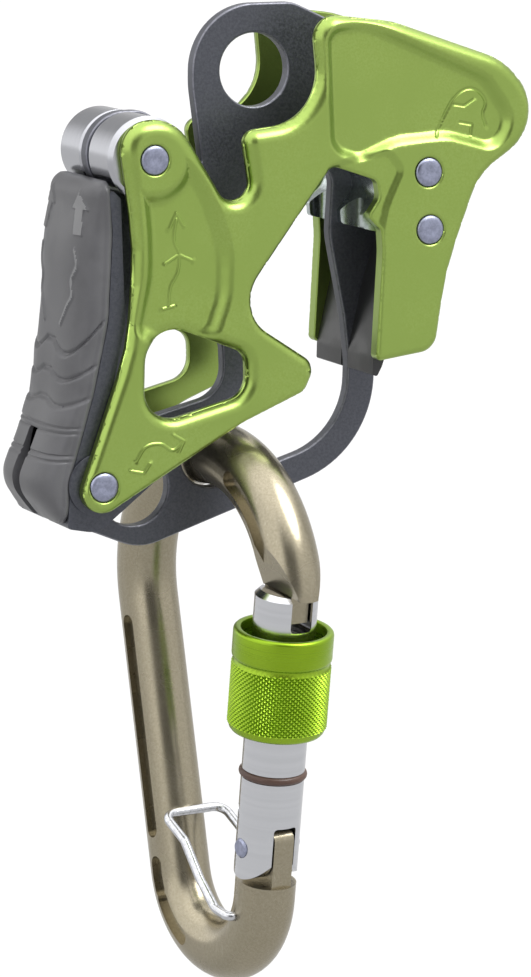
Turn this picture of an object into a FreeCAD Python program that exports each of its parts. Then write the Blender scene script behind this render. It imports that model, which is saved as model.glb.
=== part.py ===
import FreeCAD, Part
import math
import os
import Sketcher

V = FreeCAD.Vector

# Assisted braking belay device with its captive screw-gate carabiner, in millimetres.
# The origin is the centre of the anchor eye. X runs to the right along the plates,
# Y runs from the front plate to the rear plate, and Z is up as the device hangs.

# Driving sizes, each with the alias it has in the sheet.
SIZES = {
    "layout_length": 100.0,
    "plate_thickness": 3.5,
    "plate_edge_radius": 0.9,
    "channel_width": 12.0,
    "centre_thickness": 3.0,
    "centre_edge_radius": 0.5,
    "panel_depth": 0.6,
    "eye_radius": 7.4,
    "ring_pivot_wall": 2.62,
    "liner_rivet_wall": 1.05,
    "ring_wall": 2.84,
    "rivet_radius": 2.4,
    "rivet_head_radius": 2.95,
    "rivet_head_height": 1.2,
    "rivet_seat_clearance": 0.12,
    "shaft_clearance": 0.05,
    "running_clearance": 0.3,
    "roller_radius": 8.3,
    "roller_bore_radius": 4.3,
    "roller_chamfer": 0.9,
    "pivot_bush_radius": 3.4,
    "insert_groove_radius": 5.4,
    "insert_groove_depth": 1.9,
    "lever_side_clearance": 0.6,
    "lever_slit_clearance": 0.45,
    "grip_edge_radius": 3.8,
    "spring_wire_radius": 0.5,
    "spring_coil_gap": 0.8,
    "spring_pocket_clearance": 0.6,
    "spring_grip_clearance": 0.3,
    "spring_pitch": 1.5,
    "carabiner_bar_width": 11.6,
    "carabiner_bar_flat": 1.4,
    "seat_clearance": 0.4,
    "saddle_clearance": 0.7,
    "basket_radius": 27.5,
    "base_radius": 16.2,
    "pocket_depth": 1.3,
    "pocket_width": 3.6,
    "gate_radius": 6.4,
    "gate_slot_corner_radius": 0.8,
    "gate_top_bevel": 1.1,
    "fork_gap": 0.9,
    "tongue_thickness": 4.2,
    "tongue_clearance": 0.35,
    "nose_taper_length": 9.0,
    "nose_end_step": 0.6,
    "tongue_depth": 9.6,
    "bar_end_rise": 4.0,
    "hinge_tab_thickness": 4.6,
    "hinge_tab_radius": 4.5,
    "hinge_rivet_radius": 2.0,
    "sleeve_wall": 1.5,
    "sleeve_length": 21.6,
    "sleeve_mouth_gap": 2.2,
    "sleeve_mouth_depth": 6.8,
    "sleeve_band_length": 6.4,
    "sleeve_bevel": 0.9,
    "sleeve_groove_depth": 0.5,
    "stop_ring_wire_radius": 0.85,
    "keeper_wire_radius": 0.95,
    "gate_spring_wire_radius": 0.3,
    "gate_spring_pitch": 1.8,
    "plunger_length": 5.0,
}
# Angles in degrees and counts.
TURNS = {
    "carabiner_yaw": -81.0,
    "lever_spring_turns": 4,
    "gate_spring_turns": 8,
}

# Places on the device, as shares of the layout length from the eye's centre (x, z).
ROLLER_PLACE_SHARES = (-0.280, -0.156)
LEVER_PLACE_SHARES = (-0.391, -0.797)
UPPER_LEG_PLACE_SHARES = (0.316, -0.205)
LOWER_LEG_PLACE_SHARES = (0.320, -0.321)
RING_HEIGHT_SHARE = -0.833
SADDLE_PLACE_SHARES = (-0.093, -0.778)

# Outlines as shares of the layout length: (x, z, corner radius), taken in order.
PLATE_OUTLINE_SHARES = [
    (-0.350, -0.092, 0.059), (-0.233, -0.068, 0.090), (-0.119, -0.255, 0.034),
    (-0.068, -0.229, 0.033), (-0.087, -0.109, 0.027), (0.087, -0.091, 0.106), (0.066, 0.120, 0.045),
    (0.244, 0.098, 0.200), (0.498, 0.011, 0.150), (0.590, -0.113, 0.098), (0.432, -0.214, 0.134),
    (0.358, -0.404, 0.600), (0.335, -0.567, 0.040), (0.202, -0.583, 0.012), (0.215, -0.360, 0.200),
    (0.212, -0.316, 0.015), (0.184, -0.289, 0.013), (0.210, -0.253, 0.025), (0.204, -0.217, 0.018),
    (0.103, -0.182, 0.028), (-0.107, -0.464, 0.080), (0.072, -0.581, 0.030), (0.044, -0.633, 0.036),
    (-0.090, -0.687, 0.200), (-0.468, -0.900, 0.042), (-0.333, -0.527, 0.400),
    (-0.316, -0.332, 0.600),
]
WINDOW_SHARES = [
    (-0.294, -0.466, 0.065), (-0.080, -0.550, 0.035), (-0.079, -0.634, 0.045),
    (-0.301, -0.689, 0.060),
]
CENTRE_WINDOW_SHARES = [
    (-0.282, -0.458, 0.065), (-0.070, -0.540, 0.035), (-0.066, -0.650, 0.065),
    (-0.286, -0.703, 0.060),
]
HEAD_PANEL_SHARES = [
    (0.105, 0.070, 0.030), (0.185, 0.080, 0.150), (0.460, -0.020, 0.050),
    (0.490, -0.095, 0.045), (0.385, -0.185, 0.050), (0.290, -0.150, 0.080),
    (0.115, -0.140, 0.040),
]
SIDE_PANEL_SHARES = [
    (-0.300, -0.265, 0.040), (-0.235, -0.220, 0.040), (-0.140, -0.305, 0.050),
    (-0.150, -0.435, 0.050), (-0.270, -0.405, 0.060),
]
CENTRE_OUTLINE_SHARES = [
    (-0.133, 0.133, 0.133), (0.085, 0.133, 0.060), (0.160, 0.099, 0.100),
    (0.486, -0.010, 0.060), (0.522, -0.098, 0.050), (0.412, -0.215, 0.140),
    (0.322, -0.515, 0.040), (0.270, -0.570, 0.030), (0.270, -0.790, 0.220),
    (-0.252, -0.958, 0.113), (-0.586, -0.819, 0.096), (-0.352, -0.655, 0.040),
    (-0.316, -0.480, 0.200), (-0.321, -0.234, 0.020), (-0.364, -0.191, 0.084),
    (-0.364, -0.072, 0.084), (-0.228, -0.072, 0.060), (-0.142, -0.192, 0.022),
    (-0.113, -0.186, 0.012), (-0.134, -0.030, 0.200),
]
LOOP_OPENING_SHARES = [
    (0.016, -0.632, 0.015), (0.034, -0.573, 0.015), (-0.113, -0.459, 0.050), (0.082, -0.192, 0.030),
    (0.175, -0.202, 0.040), (0.166, -0.340, 0.150), (0.200, -0.510, 0.250), (0.210, -0.600, 0.200),
    (0.206, -0.753, 0.160),
]
INSERT_OUTLINE_SHARES = [
    (0.190, -0.188, 0.010), (0.230, -0.238, 0.040), (0.184, -0.289, 0.008), (0.186, -0.316, 0.008),
    (0.245, -0.330, 0.010), (0.275, -0.262, 0.015), (0.375, -0.262, 0.010), (0.375, -0.145, 0.020),
]
LINER_OUTLINE_SHARES = [
    (0.286, -0.270, 0.010), (0.355, -0.270, 0.015), (0.340, -0.380, 0.040), (0.255, -0.520, 0.080),
    (0.229, -0.598, 0.010), (0.218, -0.618, 0.005), (0.208, -0.614, 0.004), (0.209, -0.580, 0.050),
    (0.243, -0.430, 0.120), (0.268, -0.356, 0.020),
]
# How far the liner's outer corners lean from its side beside the rivet.
LINER_SIDE_LEAN_SHARES = {1: 0.0, 2: -0.015}
PARTING_SHARES = [
    (-0.354, -0.296, 0.200), (-0.364, -0.474, 0.200), (-0.395, -0.613, 0.100),
    (-0.423, -0.707, 0.050),
]
# The parting's foot: how far it leans from the spring's side, its height and its rounding.
FOOT_LINE_SHARES = [(0.0, -0.780, 0.010), (-0.008, -0.882, 0.008), (-0.016, -0.984, 0.0)]
FRAME_OUTLINE_SHARES = [
    (-0.390, -0.895, 0.050), (-0.325, -0.845, 0.030),
    (-0.252, -0.788, 0.020), (-0.246, -0.736, 0.025), (-0.335, -0.715, 0.030),
    (-0.364, -0.640, 0.080), (-0.329, -0.480, 0.200), (-0.337, -0.232, 0.010),
    (-0.362, -0.209, 0.006),
] + PARTING_SHARES
PARTING_CUT_SHARES = [
    (-0.200, -0.984, 0.0), (-0.200, -0.122, 0.0), (-0.370, -0.122, 0.0),
] + PARTING_SHARES
FRAME_CORE_SHARES = [
    (-0.345, -0.235, 0.004), (-0.380, -0.235, 0.010), (-0.400, -0.330, 0.100),
    (-0.405, -0.470, 0.100), (-0.432, -0.600, 0.100), (-0.470, -0.710, 0.050),
    (-0.488, -0.800, 0.020), (-0.470, -0.855, 0.010), (-0.400, -0.855, 0.004),
    (-0.400, -0.720, 0.050), (-0.370, -0.600, 0.100), (-0.345, -0.450, 0.100),
]
GRIP_OUTLINE_SHARES = [
    (-0.394, -0.199, 0.030), (-0.300, -0.199, 0.006), (-0.300, -0.886, 0.008),
    (-0.499, -0.874, 0.045), (-0.528, -0.803, 0.050), (-0.492, -0.725, 0.100),
    (-0.454, -0.625, 0.150), (-0.429, -0.500, 0.250), (-0.423, -0.360, 0.300),
]
SLIT_OUTLINE_SHARES = [
    (-0.620, -0.775, 0.0), (-0.355, -0.6425, 0.0), (-0.240, -0.6425, 0.0),
    (-0.240, -1.000, 0.0), (-0.620, -1.000, 0.0),
]

# The seat's corner, as shares of the seat radius from the seated arc's centre, and
# how far up the opening's side runs, as a share of the layout length.
SEAT_CORNER_SHARES = (-1.06, -1.30)
SEAT_SIDE_TOP_SHARES = (-0.712, 0.030)

# The carabiner's own frame has its origin at the seated arc's centre. Shares of the
# basket radius give the basket's centre offset, the base's centre and the hook's place.
BASKET_OFFSET_SHARE = 0.109
BASE_PLACE_SHARES = (0.156, -3.116)
HOOK_PLACE_SHARES = (0.929, 0.133)
# Shares of the base radius from the base's centre.
HINGE_PLACE_SHARES = (1.056, 0.568)
KEEPER_PLACE_SHARES = (0.846, -0.358)
# The keeper's bends from its pivot, as shares of the base radius.
KEEPER_BEND_SHARES = [(-0.31, 0.04), (-0.66, 0.34), (-1.02, 0.76)]
KEEPER_TOP_SHARE = 1.0
KEEPER_BEND_RADIUS_SHARE = 0.17
# Side pockets: spans along the spine, and angles round the basket and the base.
SPINE_POCKET_SHARES = (0.10, 0.84)
BASKET_POCKET_ANGLES = [(22, 62)]
BASE_POCKET_ANGLES = [(186, 204), (212, 246)]
# Heights along the gate, as shares of its length from the hinge.
TOP_SLOT_SHARE = 0.866
TONGUE_END_SHARE = 0.895
RING_SEAT_SHARE = 0.288
RING_SUNK_SHARE = 0.4
SLEEVE_LOW_SHARE = 0.450

# The inner corner of the tab is nearly as round as its radius allows.
ROUND_SHARE = 0.98
# How close two places are that count as one, as a share of the seat clearance.
SAME_PLACE_SHARE = 0.01
# The core's width as a share of the frame's, and a cut's reach past what it cuts.
CORE_WIDTH_SHARE = 0.7
CUT_REACH_SHARE = 1.5

doc = FreeCAD.newDocument("belay_device")
sheet = doc.addObject("Spreadsheet::Sheet", "Sizes")
checked = []


def fill_sheet():
    table = list(SIZES.items()) + list(TURNS.items())
    for row, (name, number) in enumerate(table, start=1):
        sheet.set("A%d" % row, name)
        sheet.set("B%d" % row, str(number))
        sheet.setAlias("B%d" % row, name)
    doc.recompute()


def size(name):
    return float(sheet.get(name))


def cell(name):
    return "Sizes." + name


def layout(share):
    return share * size("layout_length")


def place_of(shares):
    return V(layout(shares[0]), 0, layout(shares[1]))


def half_gap():
    return size("centre_thickness") / 2 + size("channel_width")


def outer_face():
    return half_gap() + size("plate_thickness")


HALF_CENTRE = "Sizes.centre_thickness / 2"
HALF_GAP = "(Sizes.centre_thickness / 2 + Sizes.channel_width)"
OUTER_FACE = "(Sizes.centre_thickness / 2 + Sizes.channel_width + Sizes.plate_thickness)"


def rounded_edges(corners):
    """Lines and arcs through the corners, each rounded by its own radius."""
    tangents = []
    count = len(corners)
    for index in range(count):
        point, radius = corners[index]
        back = (corners[index - 1][0] - point).normalize()
        ahead = (corners[(index + 1) % count][0] - point).normalize()
        if radius == 0:
            tangents.append((point, None, point))
            continue
        half = back.getAngle(ahead) / 2
        reach = radius / math.tan(half)
        inward = (back + ahead).normalize()
        centre = point + inward * (radius / math.sin(half))
        tangents.append((point + back * reach, centre - inward * radius, point + ahead * reach))
    edges = []
    for index in range(count):
        start, middle, end = tangents[index]
        following = tangents[(index + 1) % count][0]
        if middle is not None:
            edges.append(Part.Arc(start, middle, end))
        edges.append(Part.LineSegment(end, following))
    return edges


def layout_corners(shares):
    return [(V(layout(x), layout(z), 0), layout(radius)) for x, z, radius in shares]


def new_body(label):
    body = doc.addObject("PartDesign::Body", label)
    body.Label = label
    checked.append(body)
    return body


def origin_plane(body, role):
    return [feature for feature in body.Origin.OriginFeatures if feature.Role == role][0]


def sketch_at(body, name, role, lift):
    """A sketch on one of the body's origin planes, lifted along the plane's normal."""
    sketch = body.newObject("Sketcher::SketchObject", body.Label + "_" + name)
    sketch.AttachmentSupport = [(origin_plane(body, role), "")]
    sketch.MapMode = "FlatFace"
    sketch.setExpression("AttachmentOffset.Base.z", lift)
    return sketch


def face_sketch(body, name, depth):
    """A sketch seen from the front, at the depth (Y) that the expression gives."""
    return sketch_at(body, name, "XZ_Plane", "-(" + depth + ")")


def add_outline(sketch, corners):
    sketch.addGeometry(rounded_edges(corners), False)


def share_rules(shares):
    return ["Sizes.layout_length * %.4f" % share for share in shares]


def add_circle(sketch, radius_rule, shares=(0, 0), rules=None):
    """A circle with its radius and centre bound to the sheet.

    Shares of the layout length place its centre, unless rules for x and z are given.
    """
    start = Part.Circle(V(layout(shares[0]), layout(shares[1]), 0), V(0, 0, 1), size("rivet_radius"))
    index = sketch.addGeometry(start, False)
    radius = sketch.addConstraint(Sketcher.Constraint("Radius", index, size("rivet_radius")))
    sketch.setExpression("Constraints[%d]" % radius, radius_rule)
    if shares == (0, 0):
        sketch.addConstraint(Sketcher.Constraint("Coincident", index, 3, -1, 1))
        return
    kinds = zip(("DistanceX", "DistanceY"), shares, rules or share_rules(shares))
    for kind, share, rule in kinds:
        held = sketch.addConstraint(Sketcher.Constraint(kind, -1, 1, index, 3, layout(share)))
        sketch.setExpression("Constraints[%d]" % held, rule)


def pad(body, sketch, length_rule):
    """Thickens a sketch toward the front of the device."""
    feature = body.newObject("PartDesign::Pad", sketch.Label + "_pad")
    feature.Profile = sketch
    feature.setExpression("Length", length_rule)
    doc.recompute()
    return feature


def must_lose(body, before, name):
    if not body.Shape.Volume < before:
        raise RuntimeError(name + " cut nothing")


def cut(body, sketch, depth_rule=None, along_normal=True):
    """Cuts a sketch along its normal or against it, all the way unless a depth is given.

    The normal of a sketch seen from the front points to the front.
    """
    before = body.Shape.Volume
    feature = body.newObject("PartDesign::Pocket", sketch.Label + "_cut")
    feature.Profile = sketch
    feature.Reversed = along_normal
    if depth_rule is None:
        feature.Type = 1
    else:
        feature.setExpression("Length", depth_rule)
    doc.recompute()
    must_lose(body, before, sketch.Label)
    return feature


def edge_names(shape, wanted):
    return ["Edge%d" % (index + 1) for index, edge in enumerate(shape.Edges) if wanted(edge)]


def round_edges(body, radius_rule, wanted):
    base = body.Tip
    feature = body.newObject("PartDesign::Fillet", body.Label + "_rounding")
    feature.Base = (base, edge_names(base.Shape, wanted))
    feature.setExpression("Radius", radius_rule)
    doc.recompute()
    return feature


def bevel_edges(body, size_rule, wanted):
    base = body.Tip
    feature = body.newObject("PartDesign::Chamfer", body.Label + "_bevel")
    feature.Base = (base, edge_names(base.Shape, wanted))
    feature.setExpression("Size", size_rule)
    doc.recompute()
    return feature


def lies_at_depth(edge, depth):
    box = edge.BoundBox
    close = size("seat_clearance") * SAME_PLACE_SHARE
    return abs(box.YMin - depth) < close and abs(box.YMax - depth) < close


def set_place(obj, shares):
    obj.setExpression("Placement.Base.x", "Sizes.layout_length * %.4f" % shares[0])
    obj.setExpression("Placement.Base.z", "Sizes.layout_length * %.4f" % shares[1])


def turned(body, rings):
    """Rings about Y, each a radius rule with the rules of its rear depth and its length."""
    for index, (radius_rule, depth_rule, length_rule) in enumerate(rings):
        sketch = face_sketch(body, "ring%d" % index, depth_rule)
        add_circle(sketch, radius_rule)
        pad(body, sketch, length_rule)


RIVET_PLACES = {
    "roller_axle": ROLLER_PLACE_SHARES,
    "lever_pivot": LEVER_PLACE_SHARES,
    "leg_rivet_upper": UPPER_LEG_PLACE_SHARES,
    "leg_rivet_lower": LOWER_LEG_PLACE_SHARES,
}
SHAFT_HOLE = "Sizes.rivet_radius + Sizes.shaft_clearance"


def side_plate(label, inner_rule, outer_rule, on_front):
    """A forged side plate with its window, rivet seats and two sunk panels."""
    body = new_body(label)
    rear_rule = inner_rule if on_front else outer_rule
    outline = face_sketch(body, "outline", rear_rule)
    add_outline(outline, layout_corners(PLATE_OUTLINE_SHARES))
    pad(body, outline, "Sizes.plate_thickness")
    window = face_sketch(body, "window", rear_rule)
    add_outline(window, layout_corners(WINDOW_SHARES))
    cut(body, window)
    depth = outer_face() * (-1 if on_front else 1)
    round_edges(body, "Sizes.plate_edge_radius", lambda edge: lies_at_depth(edge, depth))
    for name, shares in (("head_panel", HEAD_PANEL_SHARES), ("side_panel", SIDE_PANEL_SHARES)):
        panel = face_sketch(body, name, outer_rule)
        add_outline(panel, layout_corners(shares))
        cut(body, panel, "Sizes.panel_depth", along_normal=not on_front)
    holes = face_sketch(body, "holes", rear_rule)
    seats = face_sketch(body, "seats", outer_rule)
    for shares in RIVET_PLACES.values():
        add_circle(holes, SHAFT_HOLE, shares)
        add_circle(seats, "Sizes.rivet_head_radius + Sizes.rivet_seat_clearance", shares)
    cut(body, holes)
    cut(body, seats, "Sizes.rivet_head_height", along_normal=not on_front)
    return body


# The ring hole fills the room between the lower loop's side and the lever pivot's hole.
RING_RIGHT = ("(Sizes.layout_length * %.4f + (Sizes.carabiner_bar_width / 2"
              " + Sizes.saddle_clearance) * %.4f - Sizes.ring_wall)"
              % (SADDLE_PLACE_SHARES[0], SEAT_CORNER_SHARES[0]))
RING_LEFT = ("(Sizes.layout_length * %.4f + " % LEVER_PLACE_SHARES[0] + SHAFT_HOLE
             + " + Sizes.ring_pivot_wall)")


def seat_corners():
    """The loop's lower left, where the carabiner's bar sits with a small clearance."""
    seat = size("carabiner_bar_width") / 2 + size("saddle_clearance")
    centre = place_of(SADDLE_PLACE_SHARES)
    x = centre.x + seat * SEAT_CORNER_SHARES[0]
    z = centre.z + seat * SEAT_CORNER_SHARES[1]
    top, top_radius = [layout(share) for share in SEAT_SIDE_TOP_SHARES]
    return [(V(x, z, 0), seat), (V(x, top, 0), top_radius)]


def centre_plate():
    """The middle plate: eye, body, leg and lower arc in one closed loop."""
    body = new_body("center_plate")
    outline = face_sketch(body, "outline", HALF_CENTRE)
    add_outline(outline, layout_corners(CENTRE_OUTLINE_SHARES))
    pad(body, outline, "Sizes.centre_thickness")
    openings = face_sketch(body, "openings", HALF_CENTRE)
    add_outline(openings, layout_corners(CENTRE_WINDOW_SHARES))
    add_outline(openings, seat_corners() + layout_corners(LOOP_OPENING_SHARES))
    add_circle(openings, "Sizes.eye_radius")
    ring_shares = (SADDLE_PLACE_SHARES[0], RING_HEIGHT_SHARE)
    add_circle(openings, "(%s - %s) / 2" % (RING_RIGHT, RING_LEFT), ring_shares,
               ["(%s + %s) / 2" % (RING_RIGHT, RING_LEFT), share_rules(ring_shares)[1]])
    cut(body, openings)
    half = size("centre_thickness") / 2
    round_edges(body, "Sizes.centre_edge_radius",
                lambda edge: lies_at_depth(edge, half) or lies_at_depth(edge, -half))
    holes = face_sketch(body, "holes", HALF_CENTRE)
    for shares in RIVET_PLACES.values():
        add_circle(holes, SHAFT_HOLE, shares)
    cut(body, holes)
    return body


def rivets():
    for label, shares in RIVET_PLACES.items():
        body = new_body(label)
        head = "Sizes.rivet_head_height"
        turned(body, [
            ("Sizes.rivet_radius", OUTER_FACE, OUTER_FACE + " * 2"),
            ("Sizes.rivet_head_radius", OUTER_FACE, head),
            ("Sizes.rivet_head_radius", "-" + OUTER_FACE + " + " + head, head),
        ])
        set_place(body, shares)


CHANNELS = {
    "front": "-" + HALF_CENTRE,
    "rear": HALF_GAP,
}


def channel_bush(label, rear_rule, shares, radius_rule):
    """A spacer tube on a rivet, filling one channel from plate to plate."""
    body = new_body(label)
    turned(body, [(radius_rule, rear_rule, "Sizes.channel_width")])
    bore = face_sketch(body, "bore", rear_rule)
    add_circle(bore, SHAFT_HOLE)
    cut(body, bore)
    set_place(body, shares)


def roller(label, rear_rule):
    body = new_body(label)
    rear = rear_rule + " - Sizes.running_clearance"
    turned(body, [("Sizes.roller_radius", rear, "Sizes.channel_width - 2 * Sizes.running_clearance")])
    bevel_edges(body, "Sizes.roller_chamfer", lambda edge: edge.isClosed() and edge.Length > 0
                and edge.Curve.TypeId == "Part::GeomCircle")
    bore = face_sketch(body, "bore", rear)
    add_circle(bore, "Sizes.roller_bore_radius")
    cut(body, bore)
    set_place(body, ROLLER_PLACE_SHARES)


def liner_corners():
    """The liner's outline, whose outer side keeps a wall beside the lower rivet's hole."""
    corners = layout_corners(LINER_OUTLINE_SHARES)
    side = (place_of(LOWER_LEG_PLACE_SHARES).x + size("rivet_radius") + size("shaft_clearance")
            + size("liner_rivet_wall"))
    for index, share in LINER_SIDE_LEAN_SHARES.items():
        point, radius = corners[index]
        corners[index] = (V(side + layout(share), point.y, 0), radius)
    return corners


def channel_block(label, rear_rule, corners, rivet_places):
    """A block that fills one channel, with its rivet holes."""
    body = new_body(label)
    outline = face_sketch(body, "outline", rear_rule)
    add_outline(outline, corners)
    pad(body, outline, "Sizes.channel_width")
    holes = face_sketch(body, "holes", rear_rule)
    for shares in rivet_places:
        add_circle(holes, SHAFT_HOLE, shares)
    cut(body, holes)
    return body


def saddle_groove(body, rear_rule):
    """A round groove down the insert's rope side."""
    groove = sketch_at(body, "groove", "XY_Plane", "-Sizes.layout_length")
    centre_y = size("channel_width") / 2 + size("centre_thickness") / 2
    side = -1 if "front" in body.Label else 1
    x = layout(INSERT_OUTLINE_SHARES[0][0]) - size("insert_groove_radius")
    circle = Part.Circle(V(x + size("insert_groove_depth"), side * centre_y, 0), V(0, 0, 1),
                         size("insert_groove_radius"))
    groove.addGeometry(circle, False)
    cut(body, groove, "2 * Sizes.layout_length")


def channel_pieces():
    for side, rear_rule in CHANNELS.items():
        channel_bush("roller_bush_" + side, rear_rule, ROLLER_PLACE_SHARES,
                     "Sizes.roller_bore_radius - Sizes.shaft_clearance")
        channel_bush("pivot_bush_" + side, rear_rule, LEVER_PLACE_SHARES, "Sizes.pivot_bush_radius")
        roller("roller_" + side, rear_rule)
        insert = channel_block("brake_insert_" + side, rear_rule,
                               layout_corners(INSERT_OUTLINE_SHARES), [UPPER_LEG_PLACE_SHARES])
        saddle_groove(insert, rear_rule)
        channel_block("channel_liner_" + side, rear_rule, liner_corners(),
                      [LOWER_LEG_PLACE_SHARES])


LEVER_HALF_WIDTH = "(" + HALF_GAP + " - Sizes.lever_side_clearance)"
CORE_HALF_WIDTH = LEVER_HALF_WIDTH + " * %.3f" % CORE_WIDTH_SHARE
SLIT_HALF_WIDTH = "Sizes.centre_thickness / 2 + Sizes.lever_slit_clearance"
SPRING_ROOM = "Sizes.spring_pitch * (Sizes.lever_spring_turns + 1)"
SPRING_COIL_RADIUS = "Sizes.pivot_bush_radius + Sizes.spring_wire_radius + Sizes.spring_coil_gap"


def foot_corner(index):
    """A corner on the parting's foot, which keeps clear of the return spring's coil."""
    lean, height, radius = FOOT_LINE_SHARES[index]
    spring = (size("pivot_bush_radius") + 2 * size("spring_wire_radius") + size("spring_coil_gap")
              + size("spring_grip_clearance"))
    x = place_of(LEVER_PLACE_SHARES).x - spring + layout(lean)
    return (V(x, layout(height), 0), layout(radius))


def lever_half_width():
    return half_gap() - size("lever_side_clearance")


def lever_frame():
    """The lever's frame: a slotted body on the pivot bushes, with a core inside the grip."""
    body = new_body("lever_frame")
    half_width = LEVER_HALF_WIDTH
    outline = face_sketch(body, "outline", half_width)
    add_outline(outline, [foot_corner(1)] + layout_corners(FRAME_OUTLINE_SHARES) + [foot_corner(0)])
    pad(body, outline, "2 * " + half_width)
    core = face_sketch(body, "core", CORE_HALF_WIDTH)
    add_outline(core, layout_corners(FRAME_CORE_SHARES))
    pad(body, core, "2 * " + CORE_HALF_WIDTH)
    slit = face_sketch(body, "slit", SLIT_HALF_WIDTH)
    add_outline(slit, layout_corners(SLIT_OUTLINE_SHARES))
    cut(body, slit, "2 * (" + SLIT_HALF_WIDTH + ")")
    bore = face_sketch(body, "bore", half_width)
    add_circle(bore, "Sizes.pivot_bush_radius + Sizes.shaft_clearance", LEVER_PLACE_SHARES)
    cut(body, bore)
    pocket = face_sketch(body, "spring_pocket", "-" + half_width)
    add_circle(pocket, SPRING_COIL_RADIUS + " + Sizes.spring_wire_radius"
               " + Sizes.spring_pocket_clearance", LEVER_PLACE_SHARES)
    cut(body, pocket, SPRING_ROOM, along_normal=False)
    return body


def lever_grip():
    """The moulded grip over the frame's core, slit where the middle plate passes."""
    body = new_body("lever_grip")
    half_width = LEVER_HALF_WIDTH
    outline = face_sketch(body, "outline", half_width)
    add_outline(outline, layout_corners(GRIP_OUTLINE_SHARES))
    pad(body, outline, "2 * " + half_width)
    reach = lever_half_width()
    round_edges(body, "Sizes.grip_edge_radius",
                lambda edge: lies_at_depth(edge, reach) or lies_at_depth(edge, -reach))
    parting = face_sketch(body, "parting", half_width)
    add_outline(parting, [foot_corner(2)] + layout_corners(PARTING_CUT_SHARES) + [foot_corner(0)])
    cut(body, parting)
    core = face_sketch(body, "core", CORE_HALF_WIDTH)
    add_outline(core, layout_corners(FRAME_CORE_SHARES))
    cut(body, core, "2 * " + CORE_HALF_WIDTH)
    slit = face_sketch(body, "slit", SLIT_HALF_WIDTH)
    add_outline(slit, layout_corners(SLIT_OUTLINE_SHARES))
    cut(body, slit, "2 * (" + SLIT_HALF_WIDTH + ")")
    return body


def coil(turns, pitch, radius, wire_radius):
    """A helical spring along Z from the origin."""
    path = Part.makeHelix(pitch, pitch * turns, radius)
    ring = Part.Wire([Part.makeCircle(wire_radius, V(radius, 0, 0), V(0, 1, 0))])
    return Part.Wire(path).makePipeShell([ring], True, True)


def plain_feature(label, shape, placement):
    feature = doc.addObject("Part::Feature", label)
    feature.Label = label
    feature.Shape = shape
    feature.Placement = placement
    checked.append(feature)
    return feature


def lever_spring():
    """The torsion coil round the pivot bush, in the frame's pocket."""
    wire = size("spring_wire_radius")
    radius = size("pivot_bush_radius") + wire + size("spring_coil_gap")
    shape = coil(size("lever_spring_turns"), size("spring_pitch"), radius, wire)
    place = place_of(LEVER_PLACE_SHARES)
    start = -lever_half_width() + size("spring_pitch") / 2
    plain_feature("lever_spring", shape, FreeCAD.Placement(
        V(place.x, start, place.z), FreeCAD.Rotation(V(1, 0, 0), -90)))


class Carabiner:
    """Works out the carabiner's circles and lines in its own frame (u, w)."""

    def __init__(self):
        basket = size("basket_radius")
        base = size("base_radius")
        offset = BASKET_OFFSET_SHARE * basket
        middle = size("carabiner_bar_flat") / 2
        self.basket = V(offset, middle - math.sqrt(basket ** 2 - offset ** 2), 0)
        self.base = V(BASE_PLACE_SHARES[0], BASE_PLACE_SHARES[1], 0) * basket
        self.hinge = self.base + V(HINGE_PLACE_SHARES[0], HINGE_PLACE_SHARES[1], 0) * base
        self.keeper = self.base + V(KEEPER_PLACE_SHARES[0], KEEPER_PLACE_SHARES[1], 0) * base
        hook = self.basket + V(HOOK_PLACE_SHARES[0], HOOK_PLACE_SHARES[1], 0) * basket
        self.gate_length = (hook - self.hinge).Length
        self.up = (hook - self.hinge).normalize()
        self.out = V(self.up.y, -self.up.x, 0)
        axis = self.base - self.basket
        swing = math.asin((basket - base) / axis.Length)
        side = V(axis.y, -axis.x, 0).normalize()
        along = V(axis).normalize()
        self.spine_normal = side * math.cos(swing) + along * math.sin(swing)
        self.spine_top = self.basket + self.spine_normal * basket
        self.spine_foot = self.base + self.spine_normal * base

    def gate_point(self, x, z):
        return self.hinge + self.out * x + self.up * z


def on_circle(centre, radius, angle):
    turn = math.radians(angle)
    return centre + V(math.cos(turn), math.sin(turn), 0) * radius


def arc_between(centre, radius, start, end):
    """The arc about the centre from start to end, the short way round."""
    middle = ((start - centre) + (end - centre)).normalize() * radius + centre
    return Part.Arc(start, middle, end)


def ring_slot(centre, radius, angles, width):
    """A slot with round ends that follows a circle between two angles."""
    half = width / 2
    outer = [on_circle(centre, radius + half, angle) for angle in angles]
    inner = [on_circle(centre, radius - half, angle) for angle in angles]
    ends = [on_circle(centre, radius, angle) for angle in angles]
    tips = [on_circle(ends[0], half, angles[0] - 90), on_circle(ends[1], half, angles[1] + 90)]
    return [
        arc_between(centre, radius + half, outer[0], outer[1]),
        Part.Arc(outer[1], tips[1], inner[1]),
        arc_between(centre, radius - half, inner[1], inner[0]),
        Part.Arc(inner[0], tips[0], outer[0]),
    ]


def line_slot(start, end, width):
    """A straight slot with round ends."""
    half = width / 2
    along = (end - start).normalize() * half
    across = V(-along.y, along.x, 0)
    return [
        Part.LineSegment(start - across, end - across),
        Part.Arc(end - across, end + along, end + across),
        Part.LineSegment(end + across, start + across),
        Part.Arc(start + across, start - along, start - across),
    ]


def polygon_edges(points):
    count = len(points)
    return [Part.LineSegment(points[index], points[(index + 1) % count]) for index in range(count)]


def seat_placement():
    """From the carabiner's frame to its seat in the middle plate."""
    return FreeCAD.Placement(place_of(SADDLE_PLACE_SHARES),
                             FreeCAD.Rotation(V(0, 0, 1), size("carabiner_yaw")))


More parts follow.
